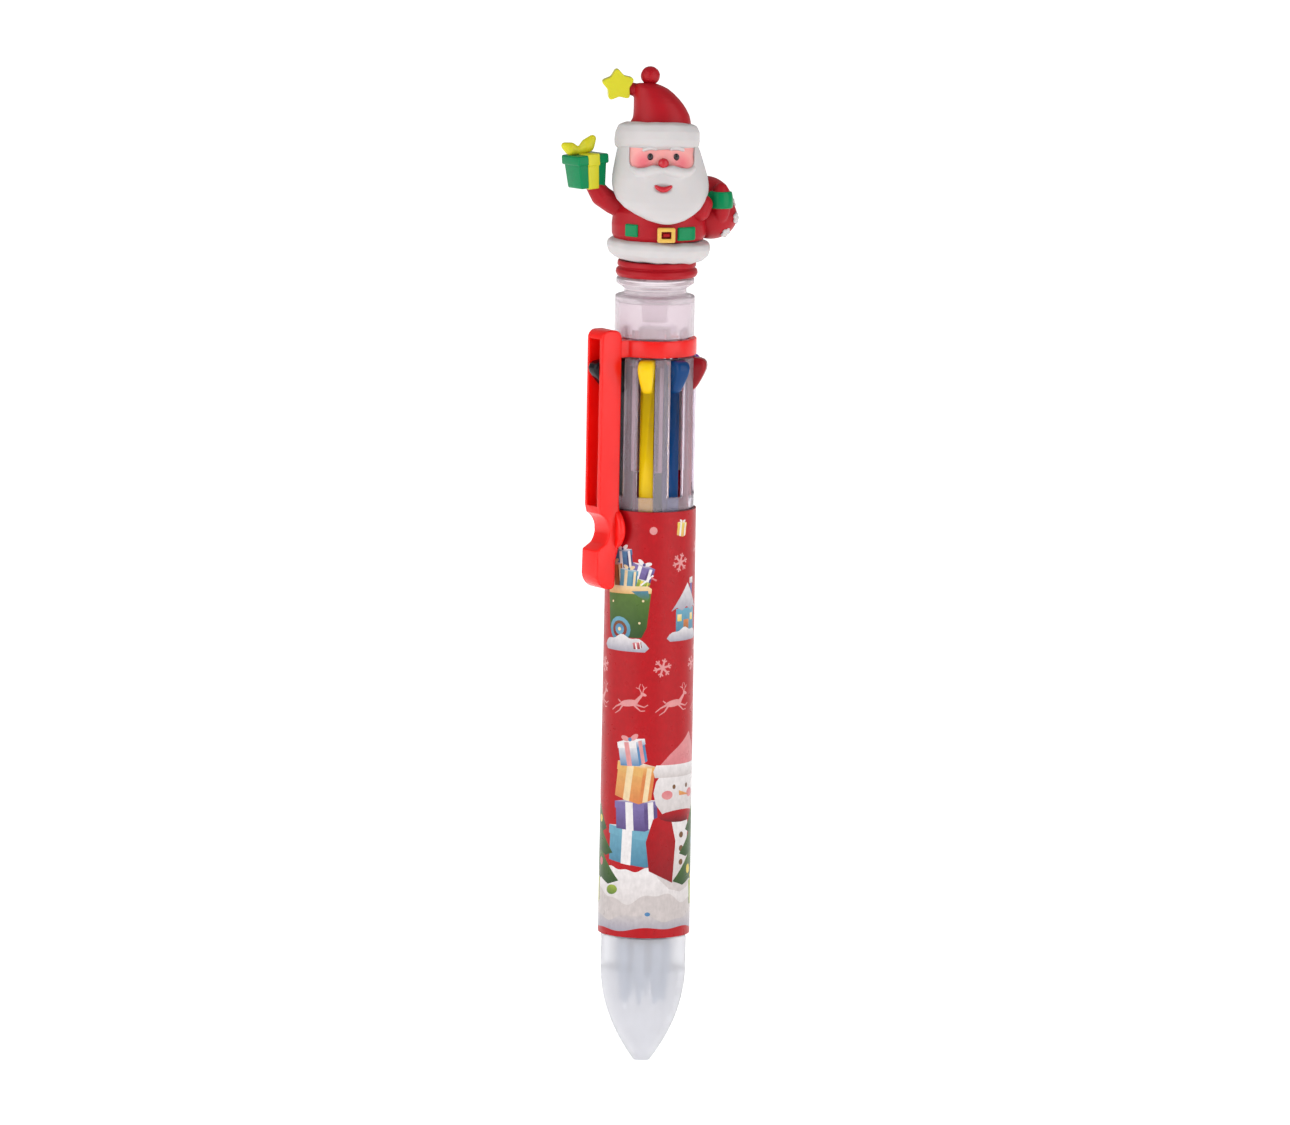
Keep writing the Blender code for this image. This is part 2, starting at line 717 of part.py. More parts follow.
def make_belt(green, gold):
    reach = TORSO_RADIUS + GAP
    levels = (TORSO_BOTTOM + 0.1 * MM, TORSO_BOTTOM + 2.3 * MM)
    curved_panel("belt_panel_left", math.radians(-42), math.radians(-23), *levels, reach, 0.45 * MM, green)
    curved_panel("belt_panel_right", math.radians(22), math.radians(48), *levels, reach, 0.45 * MM, green)
    angle = math.radians(7)
    centre = outward(angle) * (reach * FLATTENED + 0.55 * MM)
    centre.x += FIGURE_X
    centre.z = sum(levels) / 2
    buckle_size = (3.0 * MM, 0.6 * MM, 2.5 * MM)
    window_size = (1.6 * MM, 3.0 * MM, 1.1 * MM)
    frame = mesh_from(lambda work: box_into(work, centre, buckle_size, angle), "buckle")
    window = mesh_from(lambda work: box_into(work, centre, window_size, angle), "buckle_window")
    buckle = add_object("buckle", frame, gold)
    combine(buckle, add_cutter("buckle_window", window), "DIFFERENCE")


def make_head(white, skin, red):
    head = mesh_from(lambda work: ellipsoid_into(work, HEAD_CENTRE, HEAD_RADII, 20, 12), "head")
    add_object("head", head, white)
    patch_centre = (1.2 * MM, -6.1 * MM, 157.8 * MM)
    patch_radii = (5.2 * MM, 2.4 * MM, 1.9 * MM)
    patch = mesh_from(lambda work: ellipsoid_into(work, patch_centre, patch_radii), "face")
    combine(add_object("face", patch, skin), HEAD_ROOM, "DIFFERENCE")
    nose = mesh_from(
        lambda work: ellipsoid_into(
            work, (1.3 * MM, -8.7 * MM, 157.3 * MM), (0.9 * MM, 0.9 * MM, 0.9 * MM), 12, 8
        ),
        "figure_nose",
    )
    face_room = mesh_from(
        lambda work: ellipsoid_into(work, patch_centre, patch_radii, grow=GAP), "face_room"
    )
    combine(add_object("figure_nose", nose, red), add_cutter("face_room", face_room), "DIFFERENCE")
    mouth = mesh_from(
        lambda work: ellipsoid_into(
            work, (1.2 * MM, -8.0 * MM, 152.9 * MM), (1.9 * MM, 0.9 * MM, 1.0 * MM), 14, 8
        ),
        "mouth",
    )
    combine(add_object("mouth", mouth, red), HEAD_ROOM, "DIFFERENCE")


def make_hat(white, red, yellow):
    brim = [
        (0.0, BRIM_TOP),
        (BRIM_RADIUS - 1.7 * MM, BRIM_TOP),
        (BRIM_RADIUS - 0.6 * MM, BRIM_TOP - 0.7 * MM),
        (BRIM_RADIUS, BRIM_TOP - 2.2 * MM),
        (BRIM_RADIUS, BRIM_BOTTOM + 0.9 * MM),
        (BRIM_RADIUS - 0.7 * MM, BRIM_BOTTOM),
        (0.0, BRIM_BOTTOM),
    ]
    hat_brim = turned("hat_brim", brim, white, segments=32)
    hat_brim.location = (BRIM_X, -0.4 * MM, 0.0)
    combine(hat_brim, HEAD_ROOM, "DIFFERENCE")
    side = [(r**HAT_FULLNESS, z) for r, z in arc((0.0, 0.0), 1.0, 72, 0, 6)]
    crown, rim = (side[0][0], side[0][1], 0.0), (1.0, 0.0, 0.0)
    # Each level's width that sets its shift, its height, and its own width. The left side stays upright.
    levels = [crown, *[(r, z, r) for r, z in side], rim]

    def hat_shape(work):
        rings = []
        for reach, up, across in levels:
            count = 1 if across == 0.0 else 24
            shift = HAT_X - HAT_RADII[0] * (1.0 - reach)
            turns = [FULL_TURN * index / 24 for index in range(count)]
            rings.append(
                [
                    work.verts.new(
                        (
                            shift + HAT_RADII[0] * across * math.cos(t),
                            HAT_RADII[1] * across * math.sin(t),
                            HAT_BOTTOM + HAT_HEIGHT * up,
                        )
                    )
                    for t in turns
                ]
            )
        for upper, lower in zip(rings, rings[1:]):
            for index in range(24):
                corners = [
                    upper[index % len(upper)],
                    lower[index % len(lower)],
                    lower[(index + 1) % len(lower)],
                    upper[(index + 1) % len(upper)],
                ]
                work.faces.new(list(dict.fromkeys(corners)))

    add_object("hat", mesh_from(hat_shape, "hat"), red)
    pompom = mesh_from(
        lambda work: ellipsoid_into(work, POMPOM_CENTRE, [POMPOM_RADIUS] * 3, 16, 10), "pompom"
    )
    add_object("pompom", pompom, red)
    points = []
    for index in range(10):
        radius = STAR_WAIST if index % 2 else STAR_RADIUS
        turn = math.radians(90 + 36 * index)
        points.append((radius * math.cos(turn), radius * math.sin(turn)))
    upright = Matrix.Translation(STAR_CENTRE) @ Matrix.Rotation(math.pi / 2, 4, "X")
    star = add_object("star", flat_outline("star", points, STAR_THICKNESS, upright), yellow)
    rounding = star.modifiers.new("round", "BEVEL")
    rounding.width = 0.35 * MM
    rounding.segments = 1


def make_gift(green, yellow):
    centre = Vector(GIFT_CENTRE)
    overhang, lid_height = GIFT_LID
    lid_centre = centre + Vector((0.0, 0.0, (GIFT_SIZE[2] - lid_height) / 2 + 0.4 * MM))
    lid_size = (GIFT_SIZE[0] + 2 * overhang, GIFT_SIZE[1] + 2 * overhang, lid_height)

    def package(grow):
        def build(work):
            box_into(work, centre, [side + 2 * grow for side in GIFT_SIZE], GIFT_TURN)

        return build

    def lid(grow):
        def build(work):
            box_into(work, lid_centre, [side + 2 * grow for side in lid_size], GIFT_TURN)

        return build

    gift = add_object("gift_box", mesh_from(package(0.0), "gift_box"), green)
    combine(gift, add_cutter("gift_lid", mesh_from(lid(0.0), "gift_lid")), "UNION")
    band_size = (RIBBON_WIDTH, lid_size[1] + 2 * RIBBON_PROUD, GIFT_SIZE[2] + 0.8 * MM + 2 * RIBBON_PROUD)
    band = mesh_from(lambda work: box_into(work, centre, band_size, GIFT_TURN), "gift_ribbon")
    ribbon = add_object("gift_ribbon", band, yellow)
    top = centre.z + band_size[2] / 2
    for side in (-1, 1):
        offset = Matrix.Rotation(GIFT_TURN, 3, "Z") @ Vector((side * 1.35 * MM, 0.0, 0.0))
        spot = (centre.x + offset.x, centre.y + offset.y, top + 0.7 * MM)
        loop = mesh_from(lambda work: ellipsoid_into(work, spot, BOW_RADII, 12, 8), f"bow_{side}")
        combine(ribbon, add_cutter(f"bow_{side}", loop), "UNION")
    room = add_cutter("gift_room", mesh_from(package(GAP), "gift_room"))
    lid_room = add_cutter("lid_room", mesh_from(lid(GAP), "lid_room"))
    combine(ribbon, room, "DIFFERENCE")
    combine(ribbon, lid_room, "DIFFERENCE")


def make_arms_and_sack(red):
    torso_room = flattened(turned_cutter("torso_room", torso_profile(GAP), 32), FIGURE_X)
    bottom = GIFT_CENTRE[2] - GIFT_SIZE[2] / 2 - 0.4 * MM - RIBBON_PROUD - GAP
    path = [
        (-6.6 * MM, -0.7 * MM, 149.2 * MM),
        (-8.4 * MM, -1.2 * MM, 149.8 * MM),
        (-10.0 * MM, -1.7 * MM, 150.8 * MM),
        (-10.9 * MM, -2.0 * MM, bottom),
    ]
    arm = add_object("raised_arm", wire("raised_arm", path, ARM_RADIUS, 2), red)
    combine(arm, torso_room, "DIFFERENCE")
    combine(arm, HEAD_ROOM, "DIFFERENCE")
    hem_room = turned_cutter(
        "hem_room",
        [(0.0, TORSO_BOTTOM), (12.0 * MM, TORSO_BOTTOM), (12.0 * MM, 138.0 * MM), (0.0, 138.0 * MM)],
        24,
    )
    sack = add_object(
        "sack", mesh_from(lambda work: ellipsoid_into(work, SACK_CENTRE, SACK_RADII), "sack"), red
    )
    for room in (torso_room, HEAD_ROOM, hem_room):
        combine(sack, room, "DIFFERENCE")
    sleeve_centre = (8.9 * MM, -2.9 * MM, 149.6 * MM)
    sleeve_radii = (2.2 * MM, 2.4 * MM, 2.5 * MM)
    sleeve = mesh_from(
        lambda work: ellipsoid_into(work, sleeve_centre, sleeve_radii, 14, 9), "carrying_arm"
    )
    sack_room = mesh_from(
        lambda work: ellipsoid_into(work, SACK_CENTRE, SACK_RADII, grow=GAP), "sack_room"
    )
    carrying_arm = add_object("carrying_arm", sleeve, red)
    for room in (torso_room, HEAD_ROOM, add_cutter("sack_room", sack_room)):
        combine(carrying_arm, room, "DIFFERENCE")


def make_body():
    clear = plastic("clear_plastic", (0.82, 0.80, 0.84), 0.1)
    make_barrel(clear)
    make_sleeve(plastic("red_print", (0.40, 0.012, 0.02), 0.3))
    make_nose(plastic("frosted_plastic", (0.80, 0.80, 0.83), 0.5))
    make_clip(plastic("red_plastic", (0.90, 0.03, 0.02), 0.25))
    cap = plastic("milky_plastic", (0.70, 0.62, 0.68), 0.3)
    make_cap(cap)
    make_plug(cap)


def make_mechanism():
    core = plastic("core_plastic", (0.75, 0.72, 0.76), 0.3)
    steel = plastic("steel", (0.6, 0.6, 0.62), 0.25, 1.0)
    tube = plastic("tube_plastic", (0.80, 0.80, 0.82), 0.3)
    make_core(core)
    make_seat(core)
    for index, (colour, value) in enumerate(COLOURS.items()):
        angle = FIRST_ANGLE + index * STEP_ANGLE
        make_slider(colour, angle, plastic(f"{colour}_plastic", value, 0.25))
        make_refill(colour, angle, tube, steel)
        make_spring(colour, angle, steel)


def make_figure():
    red = plastic("soft_red", (0.42, 0.01, 0.02), 0.5)
    white = plastic("soft_white", (0.80, 0.79, 0.78), 0.5)
    green = plastic("soft_green", (0.0, 0.22, 0.09), 0.45)
    yellow = plastic("soft_yellow", (0.75, 0.68, 0.03), 0.45)
    make_base_and_coat(red, white)
    make_belt(green, plastic("soft_gold", (0.80, 0.50, 0.06), 0.4))
    make_head(white, plastic("soft_skin", (0.85, 0.28, 0.30), 0.5), red)
    make_hat(white, red, yellow)
    make_gift(green, yellow)
    make_arms_and_sack(red)


clear_scene()
PARTS = new_collection("multicolour_click_pen")
CUTTERS = new_collection("cutters")
HEAD_ROOM = head_cutter()
make_body()
make_mechanism()
make_figure()
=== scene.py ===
"""Looks of an eight-colour click pen with a soft moulded holiday figure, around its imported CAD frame.

Metres, +Z up along the pen. An angle round the pen counts from -Y, the front, and grows towards +X.
"""

import math

import bmesh
import bpy
from mathutils import Matrix, Vector, noise
from mathutils.bvhtree import BVHTree
from mathutils.geometry import delaunay_2d_cdt


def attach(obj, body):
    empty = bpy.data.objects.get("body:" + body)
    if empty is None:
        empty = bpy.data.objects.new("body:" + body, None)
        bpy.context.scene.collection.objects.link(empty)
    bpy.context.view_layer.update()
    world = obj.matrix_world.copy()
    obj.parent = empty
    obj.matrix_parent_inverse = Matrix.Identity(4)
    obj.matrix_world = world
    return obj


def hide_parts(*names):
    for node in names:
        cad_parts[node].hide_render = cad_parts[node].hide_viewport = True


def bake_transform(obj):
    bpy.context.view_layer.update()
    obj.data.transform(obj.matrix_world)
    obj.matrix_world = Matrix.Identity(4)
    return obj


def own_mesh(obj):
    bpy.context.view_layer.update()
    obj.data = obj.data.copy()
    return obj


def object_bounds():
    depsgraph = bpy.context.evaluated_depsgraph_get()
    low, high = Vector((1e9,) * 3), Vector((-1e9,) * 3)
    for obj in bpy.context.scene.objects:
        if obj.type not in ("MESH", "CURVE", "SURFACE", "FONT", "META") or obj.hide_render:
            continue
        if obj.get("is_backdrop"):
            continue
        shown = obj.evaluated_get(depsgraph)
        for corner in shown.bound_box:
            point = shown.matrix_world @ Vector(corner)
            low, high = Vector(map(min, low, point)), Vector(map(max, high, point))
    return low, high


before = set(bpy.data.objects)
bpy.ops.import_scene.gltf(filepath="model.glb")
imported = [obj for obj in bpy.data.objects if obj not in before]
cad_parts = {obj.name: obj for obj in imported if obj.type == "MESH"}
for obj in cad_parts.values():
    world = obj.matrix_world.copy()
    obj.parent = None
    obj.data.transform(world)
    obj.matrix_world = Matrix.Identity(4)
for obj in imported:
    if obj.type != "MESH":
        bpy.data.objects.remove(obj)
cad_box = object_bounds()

MM = 0.001
TURN = 2 * math.pi
PEN = "pen_body"
# The sliders' colours, round the pen from the clip
COLOURS = {
    "black": (12, 9, 16),
    "yellow": (250, 208, 16),
    "blue": (0, 62, 120),
    "red": (158, 14, 28),
    "purple": (112, 52, 150),
    "green": (20, 128, 62),
    "pink": (226, 104, 150),
    "orange": (236, 124, 40),
}
FIRST_ANGLE = math.radians(-54.5)
STEP_ANGLE = TURN / len(COLOURS)

# The mechanism's measures, in mm
REFILL_CIRCLE = 4.3

# What a white surface that faces the camera sends back, so that a colour below is what shows
LIGHT = 1.35


def outward(angle):
    return Vector((math.sin(angle), -math.cos(angle), 0.0))


def radial_plane(angle):
    """Maps (radius, height, side) to the plane through the axis at that angle."""
    out = outward(angle)
    side = Vector((0.0, 0.0, 1.0)).cross(out)
    return Matrix(((out.x, 0, side.x, 0), (out.y, 0, side.y, 0), (0, 1, 0, 0), (0, 0, 0, 1)))


def slot_angle(index):
    return FIRST_ANGLE + index * STEP_ANGLE


def circle(count):
    """The cosine and sine of that many even turns."""
    return [(math.cos(TURN * k / count), math.sin(TURN * k / count)) for k in range(count)]


def clamped(share):
    return min(1.0, max(0.0, share))


def tint(red, green, blue):
    """The base colour that shows as this 0-255 colour under the scene's light."""

    def linear(value):
        value /= 255
        return value / 12.92 if value <= 0.04045 else ((value + 0.055) / 1.055) ** 2.4

    return tuple(linear(value) / LIGHT for value in (red, green, blue))


# Materials


class Tree:
    """A node tree with short ways to add and join nodes."""

    def __init__(self, owner, shader):
        owner.use_nodes = True
        self.tree = owner.node_tree
        self.shader = self.tree.nodes[shader]

    def add(self, kind, links=(), **values):
        node = self.tree.nodes.new(kind)
        for key, value in values.items():
            setattr(node, key, value)
        for socket, value in dict(links).items():
            self.give(node.inputs[socket], value)
        return node

    def give(self, socket, value):
        if isinstance(value, bpy.types.NodeSocket):
            self.tree.links.new(value, socket)
        else:
            socket.default_value = value

    def set(self, **values):
        for key, value in values.items():
            self.give(self.shader.inputs[key.replace("_", " ")], value)


class Nodes(Tree):
    """A material's nodes."""

    def __init__(self, name):
        self.material = bpy.data.materials.new(name)
        super().__init__(self.material, "Principled BSDF")
        self.place = self.add("ShaderNodeTexCoord").outputs["Object"]

    def stretched(self, scale):
        return self.add("ShaderNodeMapping", {"Vector": self.place, "Scale": scale}).outputs[0]

    def noise(self, scale, detail=2.0, vector=None):
        links = {"Vector": vector or self.place, "Scale": scale, "Detail": detail}
        return self.add("ShaderNodeTexNoise", links).outputs["Fac"]

    def spread(self, value, low, high, start=0.3, end=0.7):
        links = {"Value": value, "From Min": start, "From Max": end, "To Min": low, "To Max": high}
        return self.add("ShaderNodeMapRange", links).outputs[0]

    def math(self, operation, first, second):
        return self.add("ShaderNodeMath", {0: first, 1: second}, operation=operation).outputs[0]

    def mix(self, share, first, second):
        """Mixes two colours; a Mix node keeps its colour sockets at these places."""
        return self.add("ShaderNodeMix", {0: share, 6: first, 7: second}, data_type="RGBA").outputs[2]

    def varied(self, colour, spread, scale):
        """The colour, a little darker and lighter in clouds of that scale."""
        dark = [part * (1 - spread) for part in colour] + [1.0]
        light = [min(1.0, part * (1 + spread)) for part in colour] + [1.0]
        return self.mix(self.spread(self.noise(scale), 0.0, 1.0), dark, light)

    def bumps(self, *layers):
        """Each layer is (height, distance in metres, strength)."""
        normal = None
        for height, distance, strength in layers:
            links = {"Height": height, "Distance": distance, "Strength": strength}
            if normal:
                links["Normal"] = normal
            normal = self.add("ShaderNodeBump", links).outputs[0]
        self.set(Normal=normal)


def plastic(name, colour, rough=0.25, specular=0.35, spread=0.05, texture=0.15, **shader):
    """Moulded plastic: faint clouds of colour, uneven gloss, a fine moulded grain and hairline scratches."""
    nodes = Nodes(name)
    grain = nodes.noise(4200.0, 3.0)
    waves = nodes.noise(420.0, 1.0)
    scratches = nodes.noise(900.0, 2.0, nodes.stretched((6.0, 6.0, 0.35)))
    uneven = nodes.spread(scratches, rough * 0.95, rough * 1.08)
    nodes.set(Base_Color=nodes.varied(colour, spread, 260.0), Roughness=uneven, Specular_IOR_Level=specular)
    nodes.set(**{"IOR": 1.49, **shader})
    nodes.bumps((waves, 0.00006, texture), (grain, 0.00001, texture))
    return nodes.material


def steel(name, colour, rough):
    nodes = Nodes(name)
    brushed = nodes.noise(1500.0, 3.0, nodes.stretched((1.0, 1.0, 12.0)))
    uneven = nodes.spread(brushed, rough * 0.7, rough * 1.4)
    nodes.set(Base_Color=nodes.varied(colour, 0.08, 500.0), Roughness=uneven, Metallic=1.0)
    nodes.bumps((brushed, 0.000008, 0.3))
    return nodes.material


# Meshes


def linked(name, data):
    item = bpy.data.objects.new(name, data)
    bpy.context.scene.collection.objects.link(item)
    return item


def new_object(name, mesh, material, body=PEN, replaces=None, sharp=32.0):
    """A piece of the visual model, shaded smooth up to that angle."""
    item = linked(name, mesh)
    mesh.polygons.foreach_set("use_smooth", [True] * len(mesh.polygons))
    mesh.set_sharp_from_angle(angle=math.radians(sharp))
    if material is not None and not mesh.materials:
        mesh.materials.append(material)
    if body:
        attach(item, body)
    if replaces:
        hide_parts(*([replaces] if isinstance(replaces, str) else replaces))
    return item


def finished(work, name):
    mesh = bpy.data.meshes.new(name)
    work.to_mesh(mesh)
    work.free()
    return mesh


def mesh_of(build):
    work = bmesh.new()
    build(work)
    bmesh.ops.remove_doubles(work, verts=work.verts, dist=1e-7)
    bmesh.ops.recalc_face_normals(work, faces=work.faces)
    return finished(work, "shape")


def fillet(points, radius, steps=3, closed=True):
    """The outline with each corner rounded by that radius, or by as much as its sides allow."""
    count = len(points)
    rounded = []
    for index, point in enumerate(points):
        here = Vector(point)
        if not closed and index in (0, count - 1):
            rounded.append(tuple(here))
            continue
        back = Vector(points[index - 1]) - here
        ahead = Vector(points[(index + 1) % count]) - here
        if back.length < 1e-9 or ahead.length < 1e-9:
            continue
        half = back.angle(ahead) / 2
        if half > math.radians(86) or half < math.radians(4):
            rounded.append(tuple(here))
            continue
        cut = min(radius / math.tan(half), back.length * 0.45, ahead.length * 0.45)
        start, end = here + back.normalized() * cut, here + ahead.normalized() * cut
        for step in range(steps + 1):
            share = step / steps
            curve = start * (1 - share) ** 2 + here * 2 * share * (1 - share) + end * share**2
            rounded.append(tuple(curve))
    return rounded


def lathe(profile, segments=96):
    """Turns a profile of (radius, height). One that starts and ends on the axis is closed by it."""

    def build(work):
        rings = []
        for radius, height in profile:
            turns = circle(segments if radius > 1e-9 else 1)
            rings.append([work.verts.new((radius * c, radius * n, height)) for c, n in turns])
        closed = len(rings[0]) > 1 or len(rings[-1]) > 1
        for upper, lower in zip(rings, rings[1:] + (rings[:1] if closed else [])):
            for step in range(segments):
                corners = [ring[turn % len(ring)] for ring, turn in (
                    (upper, step), (lower, step), (lower, step + 1), (upper, step + 1))]
                corners = list(dict.fromkeys(corners))
                if len(corners) > 2:
                    work.faces.new(corners)

    return mesh_of(build)


def bridged(rings):
    """A closed form through rings of points, each joined to the next."""

    def build(work):
        loops = [[work.verts.new(spot) for spot in ring] for ring in rings]
        for low, high in zip(loops, loops[1:]):
            for index in range(len(low)):
                ahead = (index + 1) % len(low)
                work.faces.new((low[index], low[ahead], high[ahead], high[index]))
        work.faces.new(loops[0][::-1])
        work.faces.new(loops[-1])

    return mesh_of(build)


def slab(outline, thickness, place, rim=0.0, steps=3):
    """A flat outline given a thickness, with both rims rounded."""
    area = sum(a[0] * b[1] - b[0] * a[1] for a, b in zip(outline, outline[1:] + outline[:1]))
    if area < 0:
        outline = outline[::-1]
    rings = []
    for step in range(steps + 1) if rim else (0,):
        turn = math.pi / 2 * step / steps
        rings.append((thickness / 2 - rim * (1 - math.sin(turn)), rim * (1 - math.cos(turn))))
    rings = [(-height, inset) for height, inset in reversed(rings)] + rings
    count = len(outline)

    def inward(index):
        back, here, ahead = (Vector(outline[(index + step) % count]) for step in (-1, 0, 1))
        before, after = (here - back).normalized(), (ahead - here).normalized()
        normal = Vector((-(before.y + after.y), before.x + after.x)) / 2
        return here, normal / max(0.3, normal.length_squared)

    corners = [inward(index) for index in range(count)]
    return bridged([
        [place @ Vector((*(here + normal * inset), height)) for here, normal in corners] for height, inset in rings
    ])


def box_mesh(centre, size, turn):
    place = Matrix.Translation(centre) @ Matrix.Rotation(turn, 4, "Z") @ Matrix.Diagonal((*size, 1.0))
    return mesh_of(lambda work: bmesh.ops.create_cube(work, size=1.0, matrix=place))


def merged(*meshes):
    """One mesh that holds all of these, unjoined."""
    work = bmesh.new()
    for mesh in meshes:
        work.from_mesh(mesh)
    return finished(work, "merged")


def modified(mesh, *steps):
    """The mesh after modifiers, each a kind and its settings."""
    item = linked("work", mesh)
    for kind, settings in steps:
        modifier = item.modifiers.new(kind, kind)
        for key, value in settings.items():
            setattr(modifier, key, value)
    graph = bpy.context.evaluated_depsgraph_get()
    made = bpy.data.meshes.new_from_object(item.evaluated_get(graph))
    bpy.data.objects.remove(item)
    return made


def joined(mesh, other, operation="UNION"):
    """An exact Boolean of two closed meshes."""
    helper = linked("helper", other)
    settings = {"operation": operation, "solver": "EXACT", "object": helper, "use_self": True}
    made = modified(mesh, ("BOOLEAN", settings))
    bpy.data.objects.remove(helper)
    return made


def softened(mesh, voxel, smooth):
    """The meshes fused into one skin and smoothed, as soft moulded plastic is."""
    return modified(
        mesh,
        ("REMESH", {"mode": "VOXEL", "voxel_size": voxel, "use_smooth_shade": True}),
        ("SMOOTH", {"factor": 0.5, "iterations": smooth}),
    )


def bevelled(mesh, width, segments, angle):
    """The mesh with its edges sharper than the angle rounded."""
    settings = {"width": width, "segments": segments, "limit_method": "ANGLE", "angle_limit": math.radians(angle)}
    return modified(mesh, ("BEVEL", settings))


def arc(centre, radius, start, end, steps):
    turns = [math.radians(start + (end - start) * step / steps) for step in range(steps + 1)]
    return [(centre[0] + radius * math.cos(t), centre[1] + radius * math.sin(t)) for t in turns]


def mm(points):
    return [tuple(value * MM for value in point) for point in points]


# The pen's shells


def clear_plastic(name, colour, rough, through, texture=0.05, specular=0.5, ior=1.49):
    """See-through plastic; a lower index keeps what is behind a cut wall in its place."""
    return plastic(name, colour, rough, specular, 0.02, texture, Transmission_Weight=through, IOR=ior)


def make_barrel(material):
    profile = mm([
        (5.95, 128.9), (5.95, 124.0), (7.37, 124.0), (7.37, 97.7), (7.05, 97.7), (7.25, 22.8),
        (6.4, 22.8), (6.4, 31.0), (5.9, 31.5), (5.9, 64.5), (6.6, 64.5), (6.6, 122.8),
        (5.2, 123.6), (5.2, 128.9),
    ])
    shell = lathe(fillet(profile, 0.22 * MM), 96)
    cutters = []
    for index in range(len(COLOURS)):
        centre = outward(slot_angle(index)) * 6.5 * MM
        centre.z = 114.9 * MM
        cutters.append(box_mesh(centre, (3.0 * MM, 5.0 * MM, 30.0 * MM), slot_angle(index)))
    shell = bevelled(joined(shell, merged(*cutters), "DIFFERENCE"), 0.12 * MM, 2, 50)
    new_object("window_barrel", shell, material, replaces="barrel")


def nose_radius(height):
    left = max(0.0, 1.0 - height / 17.0)
    return 7.4 - 6.0 * left**2.1


def make_nose(material):
    outer = [(nose_radius(h), h) for h in [17 * (1 - step / 30) for step in range(31)]]
    inner = [(nose_radius(h) - 1.1, h) for h in [4.2 + step * 0.8 for step in range(16)]]
    profile = [(6.1, 30.0), (6.1, 22.5), (7.4, 22.5), (7.4, 20.0), *outer, (1.15, 0.0), (1.15, 1.4), *inner]
    profile += [(5.2, 17.6), (5.2, 30.0)]
    new_object("frosted_nose", lathe(fillet(mm(profile), 0.2 * MM), 96), material,
               replaces="nose_cone")


def make_cap_and_plug(material):
    cap = [(2.6, 134.5), (6.93, 134.5), (6.93, 127.5), (6.25, 127.5), (6.25, 133.5), (2.6, 133.5)]
    new_object("milky_cap", lathe(fillet(mm(cap), 0.32 * MM, 4), 96), material,
               replaces="top_cap")
    plug = [
        (0.0, 141.0), (2.2, 141.0), (2.2, 137.6), (6.78, 137.6), (6.78, 136.7), (6.3, 136.3),
        (5.44, 135.8), (5.44, 134.8), (2.2, 134.8), (2.2, 129.9), (0.0, 129.9),
    ]
    new_object("milky_plug", lathe(fillet(mm(plug), 0.35 * MM, 4, closed=False), 96), material,
               replaces="topper_plug")


def make_clip(material):
    notch = arc((13.9, 94.1), 3.45, 118, 222, 18)
    outline = [
        *arc((11.1, 127.6), 1.5, 90, 0, 8),
        (12.6, 98.5),
        *notch,
        (12.95, 90.8),
        *arc((10.15, 86.8), 2.9, 3, -90, 10),
        *arc((9.95, 84.85), 0.95, 258, 180, 5),
        (9.0, 88.8),
        (8.5, 90.5),
        (8.15, 92.3),
        (8.1, 94.5),
        (8.2, 96.5),
        (8.4, 98.9),
        *arc((9.9, 127.6), 1.5, 180, 90, 8),
    ]
    plane = radial_plane(FIRST_ANGLE)
    arm = slab(fillet(mm(outline), 0.45 * MM, 4), 4.7 * MM, plane, 0.35 * MM, 4)
    slot = mm([(5.4, 98.4), (14.6, 98.4), (14.6, 127.6), (8.9, 127.6), (8.9, 124.2), (5.4, 124.2)])
    arm = joined(arm, slab(slot, 3.1 * MM, plane), "DIFFERENCE")
    web = slab(mm([(6.65, 124.3), (9.1, 124.3), (9.1, 127.2), (6.65, 127.2)]), 4.5 * MM, plane)
    ring = fillet(mm([(7.37, 127.2), (7.37, 124.3), (6.25, 124.3), (6.25, 127.2)]), 0.25 * MM, 3)
    clip = joined(joined(arm, web), lathe(ring, 96))
    saddle = mm([(4.1 * c, 94.3 + 3.9 * n) for c, n in circle(48)])
    out = outward(FIRST_ANGLE)
    side, reach = Vector((0.0, 0.0, 1.0)).cross(out), 8.7 * MM
    across = Matrix((
        (side.x, 0, out.x, out.x * reach), (side.y, 0, out.y, out.y * reach), (0, 1, 0, 0), (0, 0, 0, 1)
    ))
    clip = joined(clip, slab(saddle, 1.3 * MM, across, 0.5 * MM, 4))
    new_object("pocket_clip", bevelled(clip, 0.1 * MM, 2, 60), material, replaces="clip")


# The mechanism


def button_mesh(levels, place):
    """A thumb button: rounded sections, each (height, reach, width), stacked from top to bottom."""
    rings = []
    for height, reach, width in levels:
        half, inner = width / 2, 5.6
        corner = min(0.75, half * 0.9)
        outline = [(inner, -half), *arc((reach - corner, -half + corner), corner, -90, 0, 6)]
        outline += [*arc((reach - corner, half - corner), corner, 0, 90, 6), (inner, half)]
        rings.append([place @ Vector((r * MM, height * MM, t * MM)) for r, t in outline])
    return bridged(rings)


BUTTON = [
    (123.88, 7.7, 1.7), (123.83, 8.3, 2.15), (123.6, 8.85, 2.5), (123.2, 9.2, 2.68), (122.6, 9.35, 2.74),
    (121.9, 9.28, 2.7), (121.1, 8.95, 2.55), (120.1, 8.45, 2.3), (119.2, 7.95, 2.05), (118.5, 7.45, 1.85),
    (118.1, 7.0, 1.6), (117.95, 6.5, 1.2),
]


